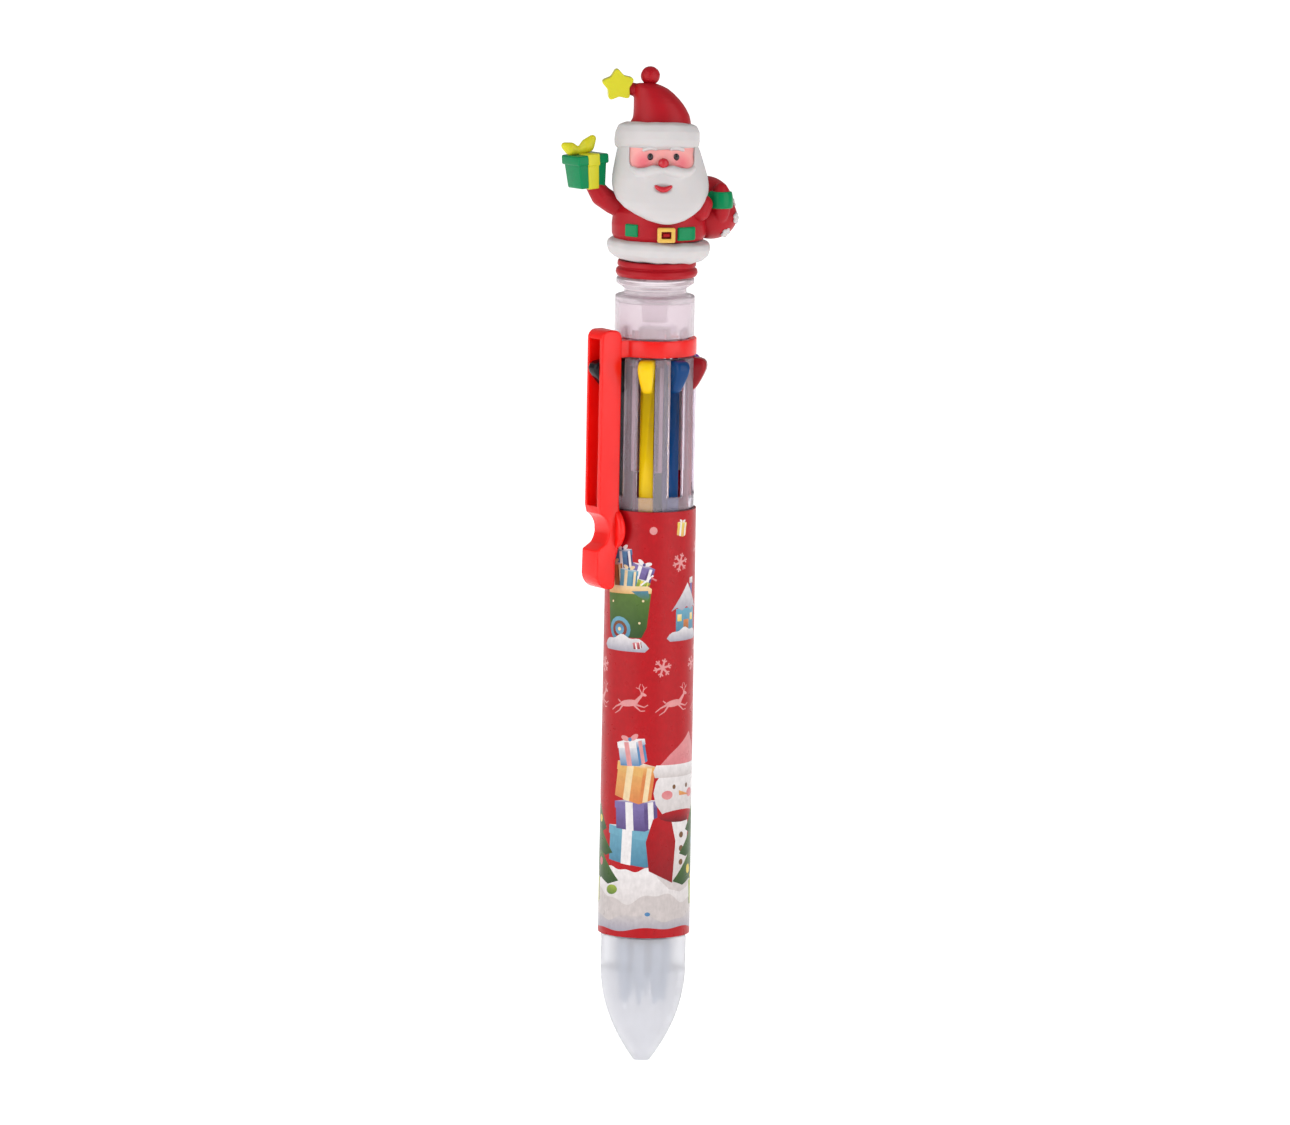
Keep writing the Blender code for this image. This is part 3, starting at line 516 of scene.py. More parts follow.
def slider_mesh(angle, in_clip):
    plane = radial_plane(angle)
    rail = mm([
        (4.7, 95.5), (6.3, 95.5), (6.3, 123.8), (4.7, 123.8), (4.7, 117.6), (4.2, 116.4),
        (4.2, 114.8), (4.7, 114.2),
    ])
    rail = slab(fillet(rail, 0.15 * MM), 2.4 * MM, plane, 0.15 * MM)
    levels = BUTTON
    if in_clip:
        levels = [(height, 1.62 * reach - 1.9, width) for height, reach, width in BUTTON]
    button = button_mesh(levels, plane)
    stem = fillet(mm([(0, 96.5), (1.35, 96.5), (1.35, 93.5), (0.5, 93.5), (0.5, 90.2), (0, 90.2)]), 0.1 * MM,
                  2, closed=False)
    stem = lathe(stem, 24)
    stem.transform(Matrix.Translation(outward(angle) * REFILL_CIRCLE * MM))
    return joined(joined(rail, button), stem)


def lean_place(angle):
    """The refill's own frame: its origin at the peg, its Z along the leaning tube."""
    out = outward(angle)
    lean = Matrix.Rotation(math.atan2(0.7, 82.8), 4, Vector((math.cos(angle), math.sin(angle), 0.0)))
    peg = Vector((out.x * REFILL_CIRCLE * MM, out.y * REFILL_CIRCLE * MM, 93.2 * MM))
    return Matrix.Translation(peg) @ lean


def refill_meshes(angle):
    tube = fillet(mm([(1.05, 0.0), (1.05, -71.7), (0.78, -71.7), (0.78, 0.0)]), 0.05 * MM, 2)
    tube = subdivided_lathe(tube, 24, 24)
    ink = subdivided_lathe(mm([(0.0, -6.0), (0.74, -6.0), (0.74, -68.6), (0.0, -68.6)]), 16, 24)
    tip = [
        (0.0, -69.2), (0.5, -69.2), (0.5, -72.0), (1.05, -72.0), (1.05, -77.2), (0.95, -77.6), (0.72, -79.2),
        (0.62, -80.4), (0.6, -80.6), (0.42, -81.6), (0.38, -82.4), (0.36, -82.55), (0.26, -82.74), (0.0, -82.8),
    ]
    place = lean_place(angle)
    meshes = [tube, ink, lathe(mm(tip), 32)]
    for mesh in meshes:
        mesh.transform(place)
    return meshes


def subdivided_lathe(profile, segments, pieces):
    """A lathe whose long sides are cut in pieces."""
    cut = []
    for start, end in zip(profile, profile[1:] + profile[:1]):
        count = pieces if abs(end[1] - start[1]) > 20 * MM and start[0] + end[0] > 0 else 1
        for step in range(count):
            share = step / count
            cut.append((start[0] + (end[0] - start[0]) * share, start[1] + (end[1] - start[1]) * share))
    return lathe(cut, segments)


def coil_mesh(centre, bottom, top, radius, wire, turns):
    """A coil spring whose last turn at each end lies flat."""
    per_turn, sides = 16, 6
    rings = []
    count = turns * per_turn
    for index in range(count + 1):
        turn = TURN * index / per_turn
        share = clamped((index - per_turn) / (count - 2 * per_turn))
        along = Vector((math.cos(turn), math.sin(turn), 0.0))
        spot = Vector(centre) + along * radius
        spot.z = bottom + (top - bottom) * share
        rings.append([spot + (along * c * wire + Vector((0, 0, n * wire))) for c, n in circle(sides)])
    return bridged(rings)


def make_mechanism(core, tube, metal):
    for node in ("guide_core", "spring_seat"):
        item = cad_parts[node]
        item.data.materials.clear()
        item.data.materials.append(core)
    for index, (colour, shade) in enumerate(COLOURS.items()):
        angle = slot_angle(index)
        paint = plastic(f"{colour}_gloss", tint(*shade), 0.2, 0.2, 0.05, 0.1)
        new_object(f"{colour}_button", slider_mesh(angle, index == 0), paint, f"{colour}_slide",
                   f"slider_{colour}")
        ink = plastic(f"{colour}_ink", tint(*shade), 0.1, 0.4, 0.02, 0.0)
        tube_mesh, ink_mesh, tip_mesh = refill_meshes(angle)
        out = outward(angle)
        ends = [(out.x * 3.9 * MM, out.y * 3.9 * MM, z * MM) for z in (66.0, 24.0)]
        bodies = (f"{colour}_slide", f"{colour}_refill")
        tube_item = new_object(f"{colour}_tube", tube_mesh, tube, None, f"refill_tube_{colour}")
        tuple(ends[0])
        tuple(ends[1])
        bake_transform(tube_item)
        ink_item = new_object(f"{colour}_ink", ink_mesh, ink, None)
        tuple(ends[0])
        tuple(ends[1])
        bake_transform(ink_item)
        new_object(f"{colour}_tip", tip_mesh, metal, bodies[1], f"refill_tip_{colour}")
        spring = coil_mesh(out * REFILL_CIRCLE * MM, 66.45 * MM, 93.3 * MM, 1.22 * MM, 0.1 * MM, 16)
        spring_item = new_object(f"{colour}_spring", spring, metal, PEN, f"spring_{colour}")
        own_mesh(spring_item)


make_barrel(clear_plastic("clear_plastic", (0.86, 0.78, 0.86), 0.07, 0.88, 0.01, ior=1.25))
make_nose(clear_plastic("frosted_plastic", (0.76, 0.76, 0.79), 0.32, 0.68, 0.1, ior=1.15))
make_cap_and_plug(clear_plastic("milky_plastic", (0.88, 0.80, 0.84), 0.2, 0.78, 0.02, 0.3, 1.25))
clip_red = tint(250, 22, 16)
make_clip(plastic("red_plastic", clip_red, 0.24, 0.3, 0.03, 0.1, Subsurface_Weight=0.8, Subsurface_Scale=0.003))
make_mechanism(
    clear_plastic("core_plastic", (0.60, 0.46, 0.48), 0.2, 0.45, ior=1.3),
    clear_plastic("tube_plastic", (0.85, 0.87, 0.90), 0.15, 0.75),
    steel("tip_metal", (0.42, 0.50, 0.62), 0.3),
)


# The printed sleeve. Its picture is drawn in mm, (round the pen from the front, up the pen).

SLEEVE_LOW, SLEEVE_HIGH = 22.8, 97.5
PRINT_RADIUS = 7.9
PRINT_WIDTH = TURN * PRINT_RADIUS
PRINT = []
# The whole picture goes up by the first, and what is low on the pen comes down by the second
PRINT_RISE, GROUND_DROP = 1.1, 1.8
INK = {
    "red": (184, 8, 22),
    "deep": (140, 10, 22),
    "maroon": (104, 12, 24),
    "white": (238, 232, 232),
    "snow": (206, 196, 194),
    "shade": (168, 164, 178),
    "pink": (214, 120, 126),
    "rose": (226, 150, 150),
    "green": (92, 124, 50),
    "dark_green": (48, 78, 40),
    "lime": (160, 178, 70),
    "teal": (112, 168, 190),
    "dark_teal": (76, 130, 158),
    "blue": (86, 134, 178),
    "navy": (64, 74, 118),
    "purple": (126, 110, 166),
    "plum": (94, 76, 128),
    "tan": (228, 176, 104),
    "brown": (122, 84, 54),
    "cream": (240, 214, 170),
    "orange": (218, 132, 76),
    "yellow": (232, 206, 92),
}


def draw(points, low, high=None):
    """A patch of ink over what is there already, from one colour at its foot to another at its head."""
    PRINT.append((points, INK[low], INK[high or low]))


def moved(points, s, z, scale=1.0, turn=0.0):
    c, n = math.cos(math.radians(turn)) * scale, math.sin(math.radians(turn)) * scale
    return [(s + x * c - y * n, z + x * n + y * c) for x, y in points]


def draw_at(s, z, *patches, scale=1.0, turn=0.0):
    """Draws patches, each an outline and its inks, round that spot."""
    for points, *inks in patches:
        draw(moved(points, s, z, scale, turn), *inks)


def oblong(left, low, right, high):
    return [(left, low), (right, low), (right, high), (left, high)]


def oval(s, z, wide, tall, steps=16, turn=0.0):
    return moved([(wide * c, tall * n) for c, n in circle(steps)], s, z, 1.0, turn)


def bar(start, end, width, tip=None):
    """A straight stroke from one point to another, tapering if a tip width is given."""
    a, b = Vector(start), Vector(end)
    side = Vector((-(b - a).y, (b - a).x)).normalized() / 2
    tip = width if tip is None else tip
    return [tuple(a - side * width), tuple(b - side * tip), tuple(b + side * tip), tuple(a + side * width)]


def draw_flake(s, z, size):
    def spot(place, reach, turn):
        return (place[0] + reach * size * math.cos(turn), place[1] + reach * size * math.sin(turn))

    for arm in range(6):
        turn = math.radians(60 * arm + 15)
        draw(bar((s, z), spot((s, z), 1.0, turn), 0.26 * size, 0.14 * size), "rose")
        knee = spot((s, z), 0.6, turn)
        for side in (-0.9, 0.9):
            draw(bar(knee, spot(knee, 0.34, turn + side), 0.14 * size), "rose")


def draw_gift(s, z, wide, tall, body, dark, ribbon, turn=0.0, bow=True):
    """A wrapped box seen from its corner: two sides, a lid, ribbons and a bow."""
    half, split = wide / 2, 0.2 * wide
    lid, band = 1.06 * half, 0.09 * wide
    left, right = (split - half) / 2, (split + half) / 2

    def side(*corners):
        return [(x, share * tall) for x, share in corners]

    draw_at(
        s, z,
        (side((-half, 0.1), (split, 0), (split, 0.8), (-half, 0.86)), dark, body),
        (side((split, 0), (half, 0.14), (half, 0.88), (split, 0.8)), dark),
        (side((-lid, 0.74), (split, 0.66), (split, 0.88), (-lid, 0.95)), body),
        (side((split, 0.66), (lid, 0.76), (lid, 0.96), (split, 0.88)), dark, body),
        (side((-lid, 0.95), (split, 0.88), (lid, 0.96), (-0.05 * wide, 1.03)), body, "white"),
        (side((left - band, 0.05), (left + band, 0.03), (left + band, 0.91), (left - band, 0.93)), ribbon),
        (side((right - band * 0.7, 0.06), (right + band * 0.7, 0.09), (right + band * 0.7, 0.92),
              (right - band * 0.7, 0.9)), ribbon),
        turn=turn,
    )
    if bow:
        ears = [(oval(x * wide, 1.06 * tall, 0.17 * wide, 0.09 * wide, turn=tip), ribbon)
                for x, tip in ((-0.17, -28), (0.17, 28))]
        draw_at(s, z, *ears, (oval(0, 1.0 * tall, 0.07 * wide, 0.07 * wide), dark), turn=turn)


def draw_deer(s, z, size):
    """A leaping deer in one colour."""
    strokes = (
        ((0.7, 0.1), (1.35, 0.85), 0.42, 0.24), ((-0.95, 0.05), (-1.25, 0.3), 0.16, 0.06),
        ((0.75, -0.1), (1.6, -0.35), 0.2, 0.1), ((1.6, -0.35), (2.0, -0.1), 0.11, 0.08),
        ((0.55, -0.15), (1.25, -0.75), 0.2, 0.1), ((1.25, -0.75), (1.7, -0.7), 0.11, 0.08),
        ((-0.75, -0.1), (-1.5, -0.45), 0.24, 0.12), ((-1.5, -0.45), (-2.0, -0.85), 0.12, 0.08),
        ((-0.6, -0.15), (-1.05, -0.8), 0.22, 0.12), ((-1.05, -0.8), (-1.6, -1.15), 0.12, 0.08),
        ((1.35, 1.0), (1.05, 1.6), 0.1, 0.07), ((1.05, 1.6), (1.2, 2.0), 0.08, 0.05),
        ((1.12, 1.45), (0.75, 1.6), 0.08, 0.05), ((1.42, 1.0), (1.55, 1.6), 0.1, 0.07),
        ((1.55, 1.6), (1.35, 1.95), 0.08, 0.05), ((1.52, 1.4), (1.85, 1.7), 0.08, 0.05),
    )
    trunk, head = oval(0, 0, 1.0, 0.34, turn=8), oval(1.52, 0.92, 0.32, 0.15, 12, -18)
    shapes = [trunk, head, *(bar(*stroke) for stroke in strokes)]
    draw_at(s, z, *((shape, "rose") for shape in shapes), scale=size)


def draw_tree(s, z, size):
    patches = [(oblong(-0.1, -0.22, 0.1, 0.1), "brown")]
    for base, wide, tall in ((0.0, 0.62, 0.6), (0.36, 0.5, 0.55), (0.7, 0.36, 0.5)):
        edge = [(wide * (1 - 2 * k / 6), base - (0.06 if k % 2 else 0.0)) for k in range(7)]
        cap = [(0, base + tall), (-0.3 * wide, base + 0.62 * tall), (-0.1 * wide, base + 0.68 * tall),
               (0.08 * wide, base + 0.58 * tall), (0.3 * wide, base + 0.66 * tall)]
        patches += [([(0, base + tall), *edge[::-1]], "dark_green", "green"), (cap, "snow", "white")]
    for x, y, ink in ((-0.25, 0.12, "yellow"), (0.2, 0.2, "pink"), (-0.05, 0.5, "blue"), (0.16, 0.82, "yellow")):
        patches.append((oval(x, y, 0.06, 0.06, 8), ink))
    draw_at(s, z, *patches, scale=size)


def draw_heap(s, z, wide, tall):
    """A heap of snow with a bumpy top."""
    top = []
    for step in range(17):
        share = step / 16
        bump = math.sin(math.pi * share) ** 0.6 * (1 + 0.16 * math.sin(share * 17))
        top.append((s - wide / 2 + wide * share, z + tall * bump))
    draw([*top, (s + wide * 0.42, z - tall * 0.35), (s - wide * 0.42, z - tall * 0.35)][::-1], "shade", "white")


def draw_wagon(s, z):
    """A toy wagon of parcels: its foot is at z."""
    draw_gift(s - 1.9, z + 12.2, 3.6, 4.6, "blue", "navy", "white", 8)
    draw_gift(s - 3.9, z + 9.8, 3.6, 4.4, "orange", "brown", "cream", 8)
    draw_gift(s + 0.4, z + 9.8, 3.9, 4.6, "purple", "plum", "white", -16)
    draw_gift(s - 1.4, z + 9.4, 3.4, 4.0, "teal", "dark_teal", "cream", -4)
    draw_gift(s + 1.0, z + 9.4, 2.2, 2.2, "lime", "green", "yellow", -20, False)
    draw(bar((s + 1.1, z + 10.6), (s + 3.3, z + 12.4), 0.3), "white")
    draw(bar((s + 2.9, z + 12.0), (s + 3.9, z + 11.5), 0.3), "pink")
    body = [(-5.4, 2.6), (-4.6, 1.2), (1.4, 1.4), (2.3, 3.2), (3.0, 9.6), (2.4, 10.2), (-5.4, 9.8), (-5.9, 8.8)]
    draw_at(
        s, z,
        (body, "dark_green", "green"),
        ([(-5.9, 8.8), (3.0, 9.2), (3.1, 10.0), (2.4, 10.5), (-5.3, 10.2), (-6.0, 9.6)], "tan", "cream"),
        ([(-0.6, 9.5), (2.4, 9.7), (2.7, 8.6), (2.3, 7.9), (0.8, 8.6)], "green", "dark_teal"),
        *((oval(x, y, 0.22, 0.22, 8), "cream") for x, y in ((-4.6, 7.4), (1.6, 7.9), (1.0, 4.0))),
        (oval(-2.9, 2.7, 2.3, 2.2), "dark_teal", "teal"),
        (oval(-2.9, 2.7, 1.6, 1.5), "deep", "brown"),
        (oval(-2.9, 2.7, 1.0, 0.95), "teal", "blue"),
        (oval(-2.9, 2.7, 0.35, 0.35, 8), "cream"),
    )
    draw_heap(s - 2.0, z - 0.4, 9.6, 2.0)
    draw_gift(s + 0.8, z - 0.6, 1.5, 1.3, "pink", "deep", "white", 10, False)


def draw_house(s, z):
    """A small house under snow."""
    roof = [(-3.6, 4.2), (-2.4, 4.8), (-1.2, 4.2), (0, 4.9), (1.3, 4.2), (2.4, 4.8), (3.7, 4.2), (0.2, 9.0)]
    draw_at(
        s, z,
        (oblong(-2.6, 0, 2.6, 4.6), "dark_teal", "teal"),
        (oblong(-0.8, 0, 0.7, 2.6), "brown", "orange"),
        *((oblong(x - 0.5, 2.4, x + 0.5, 3.6), "yellow", "cream") for x in (-1.8, 1.6)),
        (oblong(1.0, 6.0, 1.9, 9.2), "plum", "purple"),
        (roof, "shade", "white"),
        ([(0.8, 8.8), (2.1, 8.8), (2.0, 9.9), (0.9, 9.8)], "snow", "white"),
    )
    draw_heap(s - 0.2, z - 0.5, 8.4, 1.6)


def draw_snowman(s, z):
    """A snowman with a soft cap, a scarf and an open coat: its foot is at z."""
    cap = [(-4.8, 20.2), (4.8, 20.2), (4.6, 22.6), (3.4, 25.0), (2.2, 27.0), (0.2, 25.4), (-2.6, 23.4), (-4.4, 21.6)]
    face = []
    for x in (-1.7, 1.5):
        face += [(oval(x, 17.6, 0.36, 0.42, 10), "brown"), (oval(1.8 * x, 16.2, 1.1, 0.8, 12), "rose", "pink")]
    draw_at(
        s, z,
        (oval(0, 7.0, 6.4, 7.2), "snow", "white"),
        ([(-6.2, 3.0), (-1.8, 1.2), (-1.2, 8.0), (-2.6, 13.4), (-5.6, 12.0), (-6.8, 8.0)], "deep", "red"),
        ([(6.2, 3.0), (2.6, 1.2), (2.0, 8.0), (3.0, 13.4), (5.8, 12.0), (6.8, 8.0)], "maroon", "deep"),
        *((oval(0.2, y, 0.55, 0.55, 10), "brown") for y in (4.2, 6.6, 9.0)),
        (oval(0, 16.6, 5.6, 5.2), "snow", "white"),
        (oval(0, 12.4, 4.6, 1.1), "maroon", "red"),
        ([(2.0, 12.4), (3.6, 12.2), (4.0, 7.8), (2.4, 7.6)], "deep", "red"),
        *face,
        ([(-0.6, 16.9), (-0.5, 16.0), (2.4, 15.9)], "orange", "tan"),
        (cap, "pink", "rose"),
        ([(-5.4, 19.3), (5.4, 19.3), (5.7, 20.4), (5.2, 21.5), (-5.2, 21.5), (-5.7, 20.4)], "snow", "white"),
    )


def draw_ground():
    edge = PRINT_WIDTH / 2 + 1
    steps = 96

    def wave(middle, *parts):
        line = []
        for step in range(steps + 1):
            s = -edge + 2 * edge * step / steps
            line.append((s, middle + sum(a * math.sin(TURN * s / PRINT_WIDTH * n + p) for a, n, p in parts)))
        return line

    low = wave(24.9, (0.35, 2, 0.6), (0.22, 6, 1.7))
    draw([*wave(33.0, (0.9, 2, 2.2), (0.4, 6, 0.4), (0.2, 14, 1.0))[::-1], *low], "snow", "white")
    draw([*wave(29.6, (0.7, 4, 0.3), (0.3, 10, 2.0))[::-1], *low], "snow")
    draw([*wave(26.8, (0.5, 4, 2.3), (0.2, 10, 0.6))[::-1], *low], "shade", "snow")


def draw_all():
    draw_ground()
    for s in (0.0, PRINT_WIDTH / 2):
        for x, z, size in ((0.5, 93.2, 0.7), (-10.8, 93.0, 0.6), (11.2, 72.0, 0.6)):
            draw(oval(s + x, z, size, size, 12), "rose")
        draw_gift(s + 5.9, 92.0, 2.1, 2.6, "yellow", "tan", "white", -6)
        for x, z, size in ((5.8, 87.5, 1.7), (2.55, 69.2, 1.7), (-10.9, 84.0, 1.6), (11.6, 89.5, 1.6),
                           (-9.9, 69.0, 1.5), (9.6, 69.5, 1.3)):
            draw_flake(s + x, z, size)
        draw_wagon(s - 2.7, 73.0)
        draw_house(s + 7.6, 74.8)
        for step in range(3):
            draw_deer(s - 3.4 + step * PRINT_WIDTH / 6, 62.9, 1.75)
        draw_gift(s - 1.9, 34.2, 10.4, 7.2, "teal", "dark_teal", "white", -2, False)
        draw_gift(s - 1.6, 40.4, 7.6, 5.6, "purple", "plum", "white", 3, False)
        draw_gift(s - 2.6, 45.4, 6.8, 7.2, "tan", "orange", "cream", -7, False)
        draw_gift(s - 2.2, 51.8, 5.0, 4.8, "white", "blue", "rose", 10)
        draw_snowman(s + 6.9, 30.6)
        draw_tree(s + 12.6, 32.0, 12.0)
        draw_gift(s + 12.4, 28.0, 4.0, 4.0, "lime", "green", "yellow", 4)
        draw(oval(s - 6.3, 30.6, 1.3, 0.7, turn=8), "green", "lime")
        draw(oval(s + 0.6, 27.4, 0.5, 0.3, 10), "blue")


def sleeve_radius(z):
    return 8.0 - 0.2 * (z - SLEEVE_LOW) / (SLEEVE_HIGH - SLEEVE_LOW)


def inside(point, outline):
    """Whether the point is in the outline, by the crossings of a line to its right."""
    x, y = point
    found = False
    for (ax, ay), (bx, by) in zip(outline, outline[1:] + outline[:1]):
        if (ay > y) != (by > y) and x < ax + (y - ay) * (bx - ax) / (by - ay):
            found = not found
    return found


def wrapped_print():
    """The print's outlines, each repeated where it crosses the seam at the back."""
    half = PRINT_WIDTH / 2
    for outline, low, high in PRINT:
        for shift in (-PRINT_WIDTH, 0.0, PRINT_WIDTH):
            placed = [(s + shift, z + PRINT_RISE - GROUND_DROP * clamped((34.0 - z) / 8.0)) for s, z in outline]
            if max(s for s, _ in placed) > -half and min(s for s, _ in placed) < half:
                yield placed, tint(*low), tint(*high)


def sleeve_mesh():
    """The picture cut into small faces with exact edges between its inks, then wrapped round the pen."""
    draw_all()
    half = PRINT_WIDTH / 2
    points, edges, patches, cells_of = [], [], [], {}

    def lines(outline, closed):
        first = len(points)
        points.extend(Vector(point) for point in outline)
        edges.extend((index, index + 1) for index in range(first, len(points) - 1))
        if closed:
            edges.append((len(points) - 1, first))

    for step in range(73):
        s = -half + PRINT_WIDTH * step / 72
        lines([(s, SLEEVE_LOW), (s, SLEEVE_HIGH)], False)
    for step in range(31):
        z = SLEEVE_LOW + (SLEEVE_HIGH - SLEEVE_LOW) * step / 30
        lines([(-half, z), (half, z)], False)
    for outline, low, high in wrapped_print():
        lines(outline, True)
        (left, bottom), (right, top) = (tuple(map(pick, *outline)) for pick in (min, max))
        for column in range(math.floor(left), math.floor(right) + 1):
            for row in range(math.floor(bottom), math.floor(top) + 1):
                cells_of.setdefault((column, row), []).append(len(patches))
        patches.append((outline, low, high, bottom, top))
    flat, _, faces, _, _, _ = delaunay_2d_cdt(points, edges, [], 0, 1e-5)
    red = tint(*INK["red"])

    def top_patch(middle):
        for index in reversed(cells_of.get((math.floor(middle.x), math.floor(middle.y)), [])):
            if inside(middle, patches[index][0]):
                return patches[index]
        return None

    def ink_at(patch, z):
        if patch is None:
            return red
        _, low, high, bottom, top = patch
        share = clamped((z - bottom) / max(1e-6, top - bottom))
        return tuple(a + (b - a) * share for a, b in zip(low, high))

    work = bmesh.new()
    paint = work.loops.layers.float_color.new("print")
    spots = []
    for s, z in flat:
        out = outward(s / PRINT_RADIUS) * sleeve_radius(z) * MM
        spots.append(work.verts.new((out.x, out.y, z * MM)))
    for corners in faces:
        middle = sum((flat[index] for index in corners), Vector((0.0, 0.0))) / len(corners)
        if abs(middle.x) > half or not SLEEVE_LOW < middle.y < SLEEVE_HIGH:
            continue
        face = work.faces.new([spots[index] for index in corners])
        patch = top_patch(middle)
        for loop, index in zip(face.loops, corners):
            loop[paint] = (*ink_at(patch, flat[index].y), 1.0)
    bmesh.ops.delete(work, geom=[v for v in work.verts if not v.link_faces], context="VERTS")
    bmesh.ops.remove_doubles(work, verts=work.verts, dist=1e-6)
    bmesh.ops.recalc_face_normals(work, faces=work.faces)
    wall = ("SOLIDIFY", {"thickness": 0.45 * MM, "offset": -1.0})
    return modified(finished(work, "printed"), wall)


def round_normals(mesh):
    """Shades the turned walls as the true cylinder, whatever way its faces are cut."""
    normals = []
    for face in mesh.polygons:
        heights = [mesh.vertices[index].co.z for index in face.vertices]
        rim = any(max(abs(z - end * MM) for z in heights) < 1e-6 for end in (SLEEVE_LOW, SLEEVE_HIGH))
        for index in face.vertices:
            spot = mesh.vertices[index].co
            out = Vector((spot.x, spot.y, 0.0))
            inner = out.length < (sleeve_radius(spot.z / MM) - 0.2) * MM
            normals.append(face.normal.copy() if rim else out.normalized() * (-1.0 if inner else 1.0))
    mesh.normals_split_custom_set(normals)


def make_sleeve():
    nodes = Nodes("printed_film")
    picture = nodes.add("ShaderNodeAttribute", attribute_name="print").outputs["Color"]
    wash = nodes.spread(nodes.noise(900.0, 4.0), 0.92, 1.06)
    brush = nodes.spread(nodes.noise(2600.0, 2.0, nodes.stretched((1.0, 1.0, 0.4))), 0.95, 1.04)
    shade = nodes.math("MULTIPLY", wash, brush)
    grey = nodes.add("ShaderNodeCombineXYZ", {0: shade, 1: shade, 2: shade}).outputs[0]
    colour = nodes.add("ShaderNodeVectorMath", {0: picture, 1: grey}, operation="MULTIPLY").outputs[0]
    gloss = nodes.spread(nodes.noise(700.0, 2.0), 0.26, 0.38)
    nodes.set(Base_Color=colour, Roughness=gloss, IOR=1.49, Specular_IOR_Level=0.2)
    nodes.bumps((nodes.noise(350.0, 1.0), 0.00004, 0.15), (nodes.noise(2400.0, 1.0), 0.000008, 0.05))
    sleeve = new_object("picture_sleeve", sleeve_mesh(), nodes.material,
                        replaces="printed_sleeve")
    round_normals(sleeve.data)


make_sleeve()


# The figure, soft moulded in pieces. Its measures are in mm.

FIGURE_X = 0.45
FLATTENED = 0.9
FACE_X, EYE_Z = 1.0, 159.3
HEAD_POWER = 2.2
HEAD_LEVELS = (
    # height, half width, half depth, middle x, middle y
    (147.7, 0.6, 0.5, 1.8, -7.4), (147.85, 1.7, 1.3, 1.75, -6.9), (148.3, 3.3, 2.5, 1.6, -6.1),
    (149.1, 5.0, 3.9, 1.35, -4.9), (150.2, 6.7, 5.3, 1.05, -3.6), (151.5, 7.8, 6.4, 0.8, -2.4),
    (152.8, 8.25, 7.0, 0.65, -1.6), (154.0, 8.4, 7.25, 0.55, -1.1), (155.4, 8.25, 7.15, 0.45, -1.0),
    (156.8, 7.95, 6.95, 0.35, -0.9), (158.2, 7.6, 6.7, 0.25, -0.8), (159.6, 7.25, 6.45, 0.15, -0.7),
    (161.2, 6.7, 6.2, 0.0, -0.6), (162.6, 5.6, 5.2, -0.1, -0.5), (163.2, 4.0, 3.6, -0.15, -0.4),
)


def soft(name, colour, rough=0.42, specular=0.3, spread=0.05):
    """Soft moulded plastic: a satin skin that lets a little light in."""
    return plastic(name, colour, rough, specular, spread, 0.3, Subsurface_Weight=0.12, Subsurface_Scale=0.0008)


def soft_piece(name, mesh, material, replaces=None, sharp=60.0):
    """Brings a mesh in mm to metres and adds it to the pen's body."""
    mesh.transform(Matrix.Diagonal((MM, MM, MM, 1.0)))
    new_object(name, mesh, material, PEN, replaces, sharp)


def bent(mesh, change):
    """The mesh with each point moved by the function."""
    for vertex in mesh.vertices:
        vertex.co = change(vertex.co)
    return mesh


def ball(centre, radii, segments=40, rings=26):
    place = Matrix.Translation(centre) @ Matrix.Diagonal((*radii, 1.0))
    return mesh_of(lambda work: bmesh.ops.create_uvsphere(
        work, u_segments=segments, v_segments=rings, radius=1.0, matrix=place))


def chain(points, step=0.25):
    """Balls set close together along a path of (x, y, z, radius), to be fused."""
    balls = []
    for start, end in zip(points, points[1:]):
        count = max(1, round((Vector(end[:3]) - Vector(start[:3])).length / step))
        for index in range(count + 1):
            spot = Vector(start).lerp(Vector(end), index / count)
            balls.append(ball(spot[:3], (spot[3],) * 3, 16, 10))
    return merged(*balls)


def stacked(levels, power):
    """A closed form from (height, half width, half depth, middle x, middle y) sections, from the bottom up."""
    rings = []
    for height, wide, deep, x, y in levels:
        ring = []
        for c, n in circle(72):
            across = wide * math.copysign(abs(c) ** (2 / power), c)
            along = deep * math.copysign(abs(n) ** (2 / power), n)
            ring.append((x + across, y + along, height))
        rings.append(ring)
    return bridged(rings)


def lumpy(mesh, depth, scale):
    """Pushes the surface in and out by smooth noise, as soft fur trim is moulded."""
    normals = [vertex.normal.copy() for vertex in mesh.vertices]
    for vertex, normal in zip(mesh.vertices, normals):
        vertex.co += normal * depth * noise.noise(vertex.co * scale)
    return mesh


def turned_about(profile, x, radius, deep=FLATTENED, y=0.0, tilt=0.0):
    """A turned form about an upright axis at x and y, flattened, whose front is raised by the tilt."""
    mesh = lathe(fillet(profile, radius, 4, closed=False), 112)
    return bent(mesh, lambda v: Vector((v.x + x, v.y * deep + y, v.z - tilt * v.y)))


def facing_plane(spot, angle=0.0, tilt=0.0):
    """Maps (across, up, out) to a plane that faces the front at that spot, turned by degrees."""
    axes = Matrix(((1, 0, 0, 0), (0, 0, -1, 0), (0, 1, 0, 0), (0, 0, 0, 1)))
    turn = Matrix.Rotation(math.radians(angle), 4, "Z") @ Matrix.Rotation(math.radians(tilt), 4, "X")
    return Matrix.Translation(spot) @ turn @ axes


def plate(wide, tall, corner):
    half_w, half_t = wide / 2, tall / 2
    return fillet([(-half_w, -half_t), (half_w, -half_t), (half_w, half_t), (-half_w, half_t)], corner, 5)


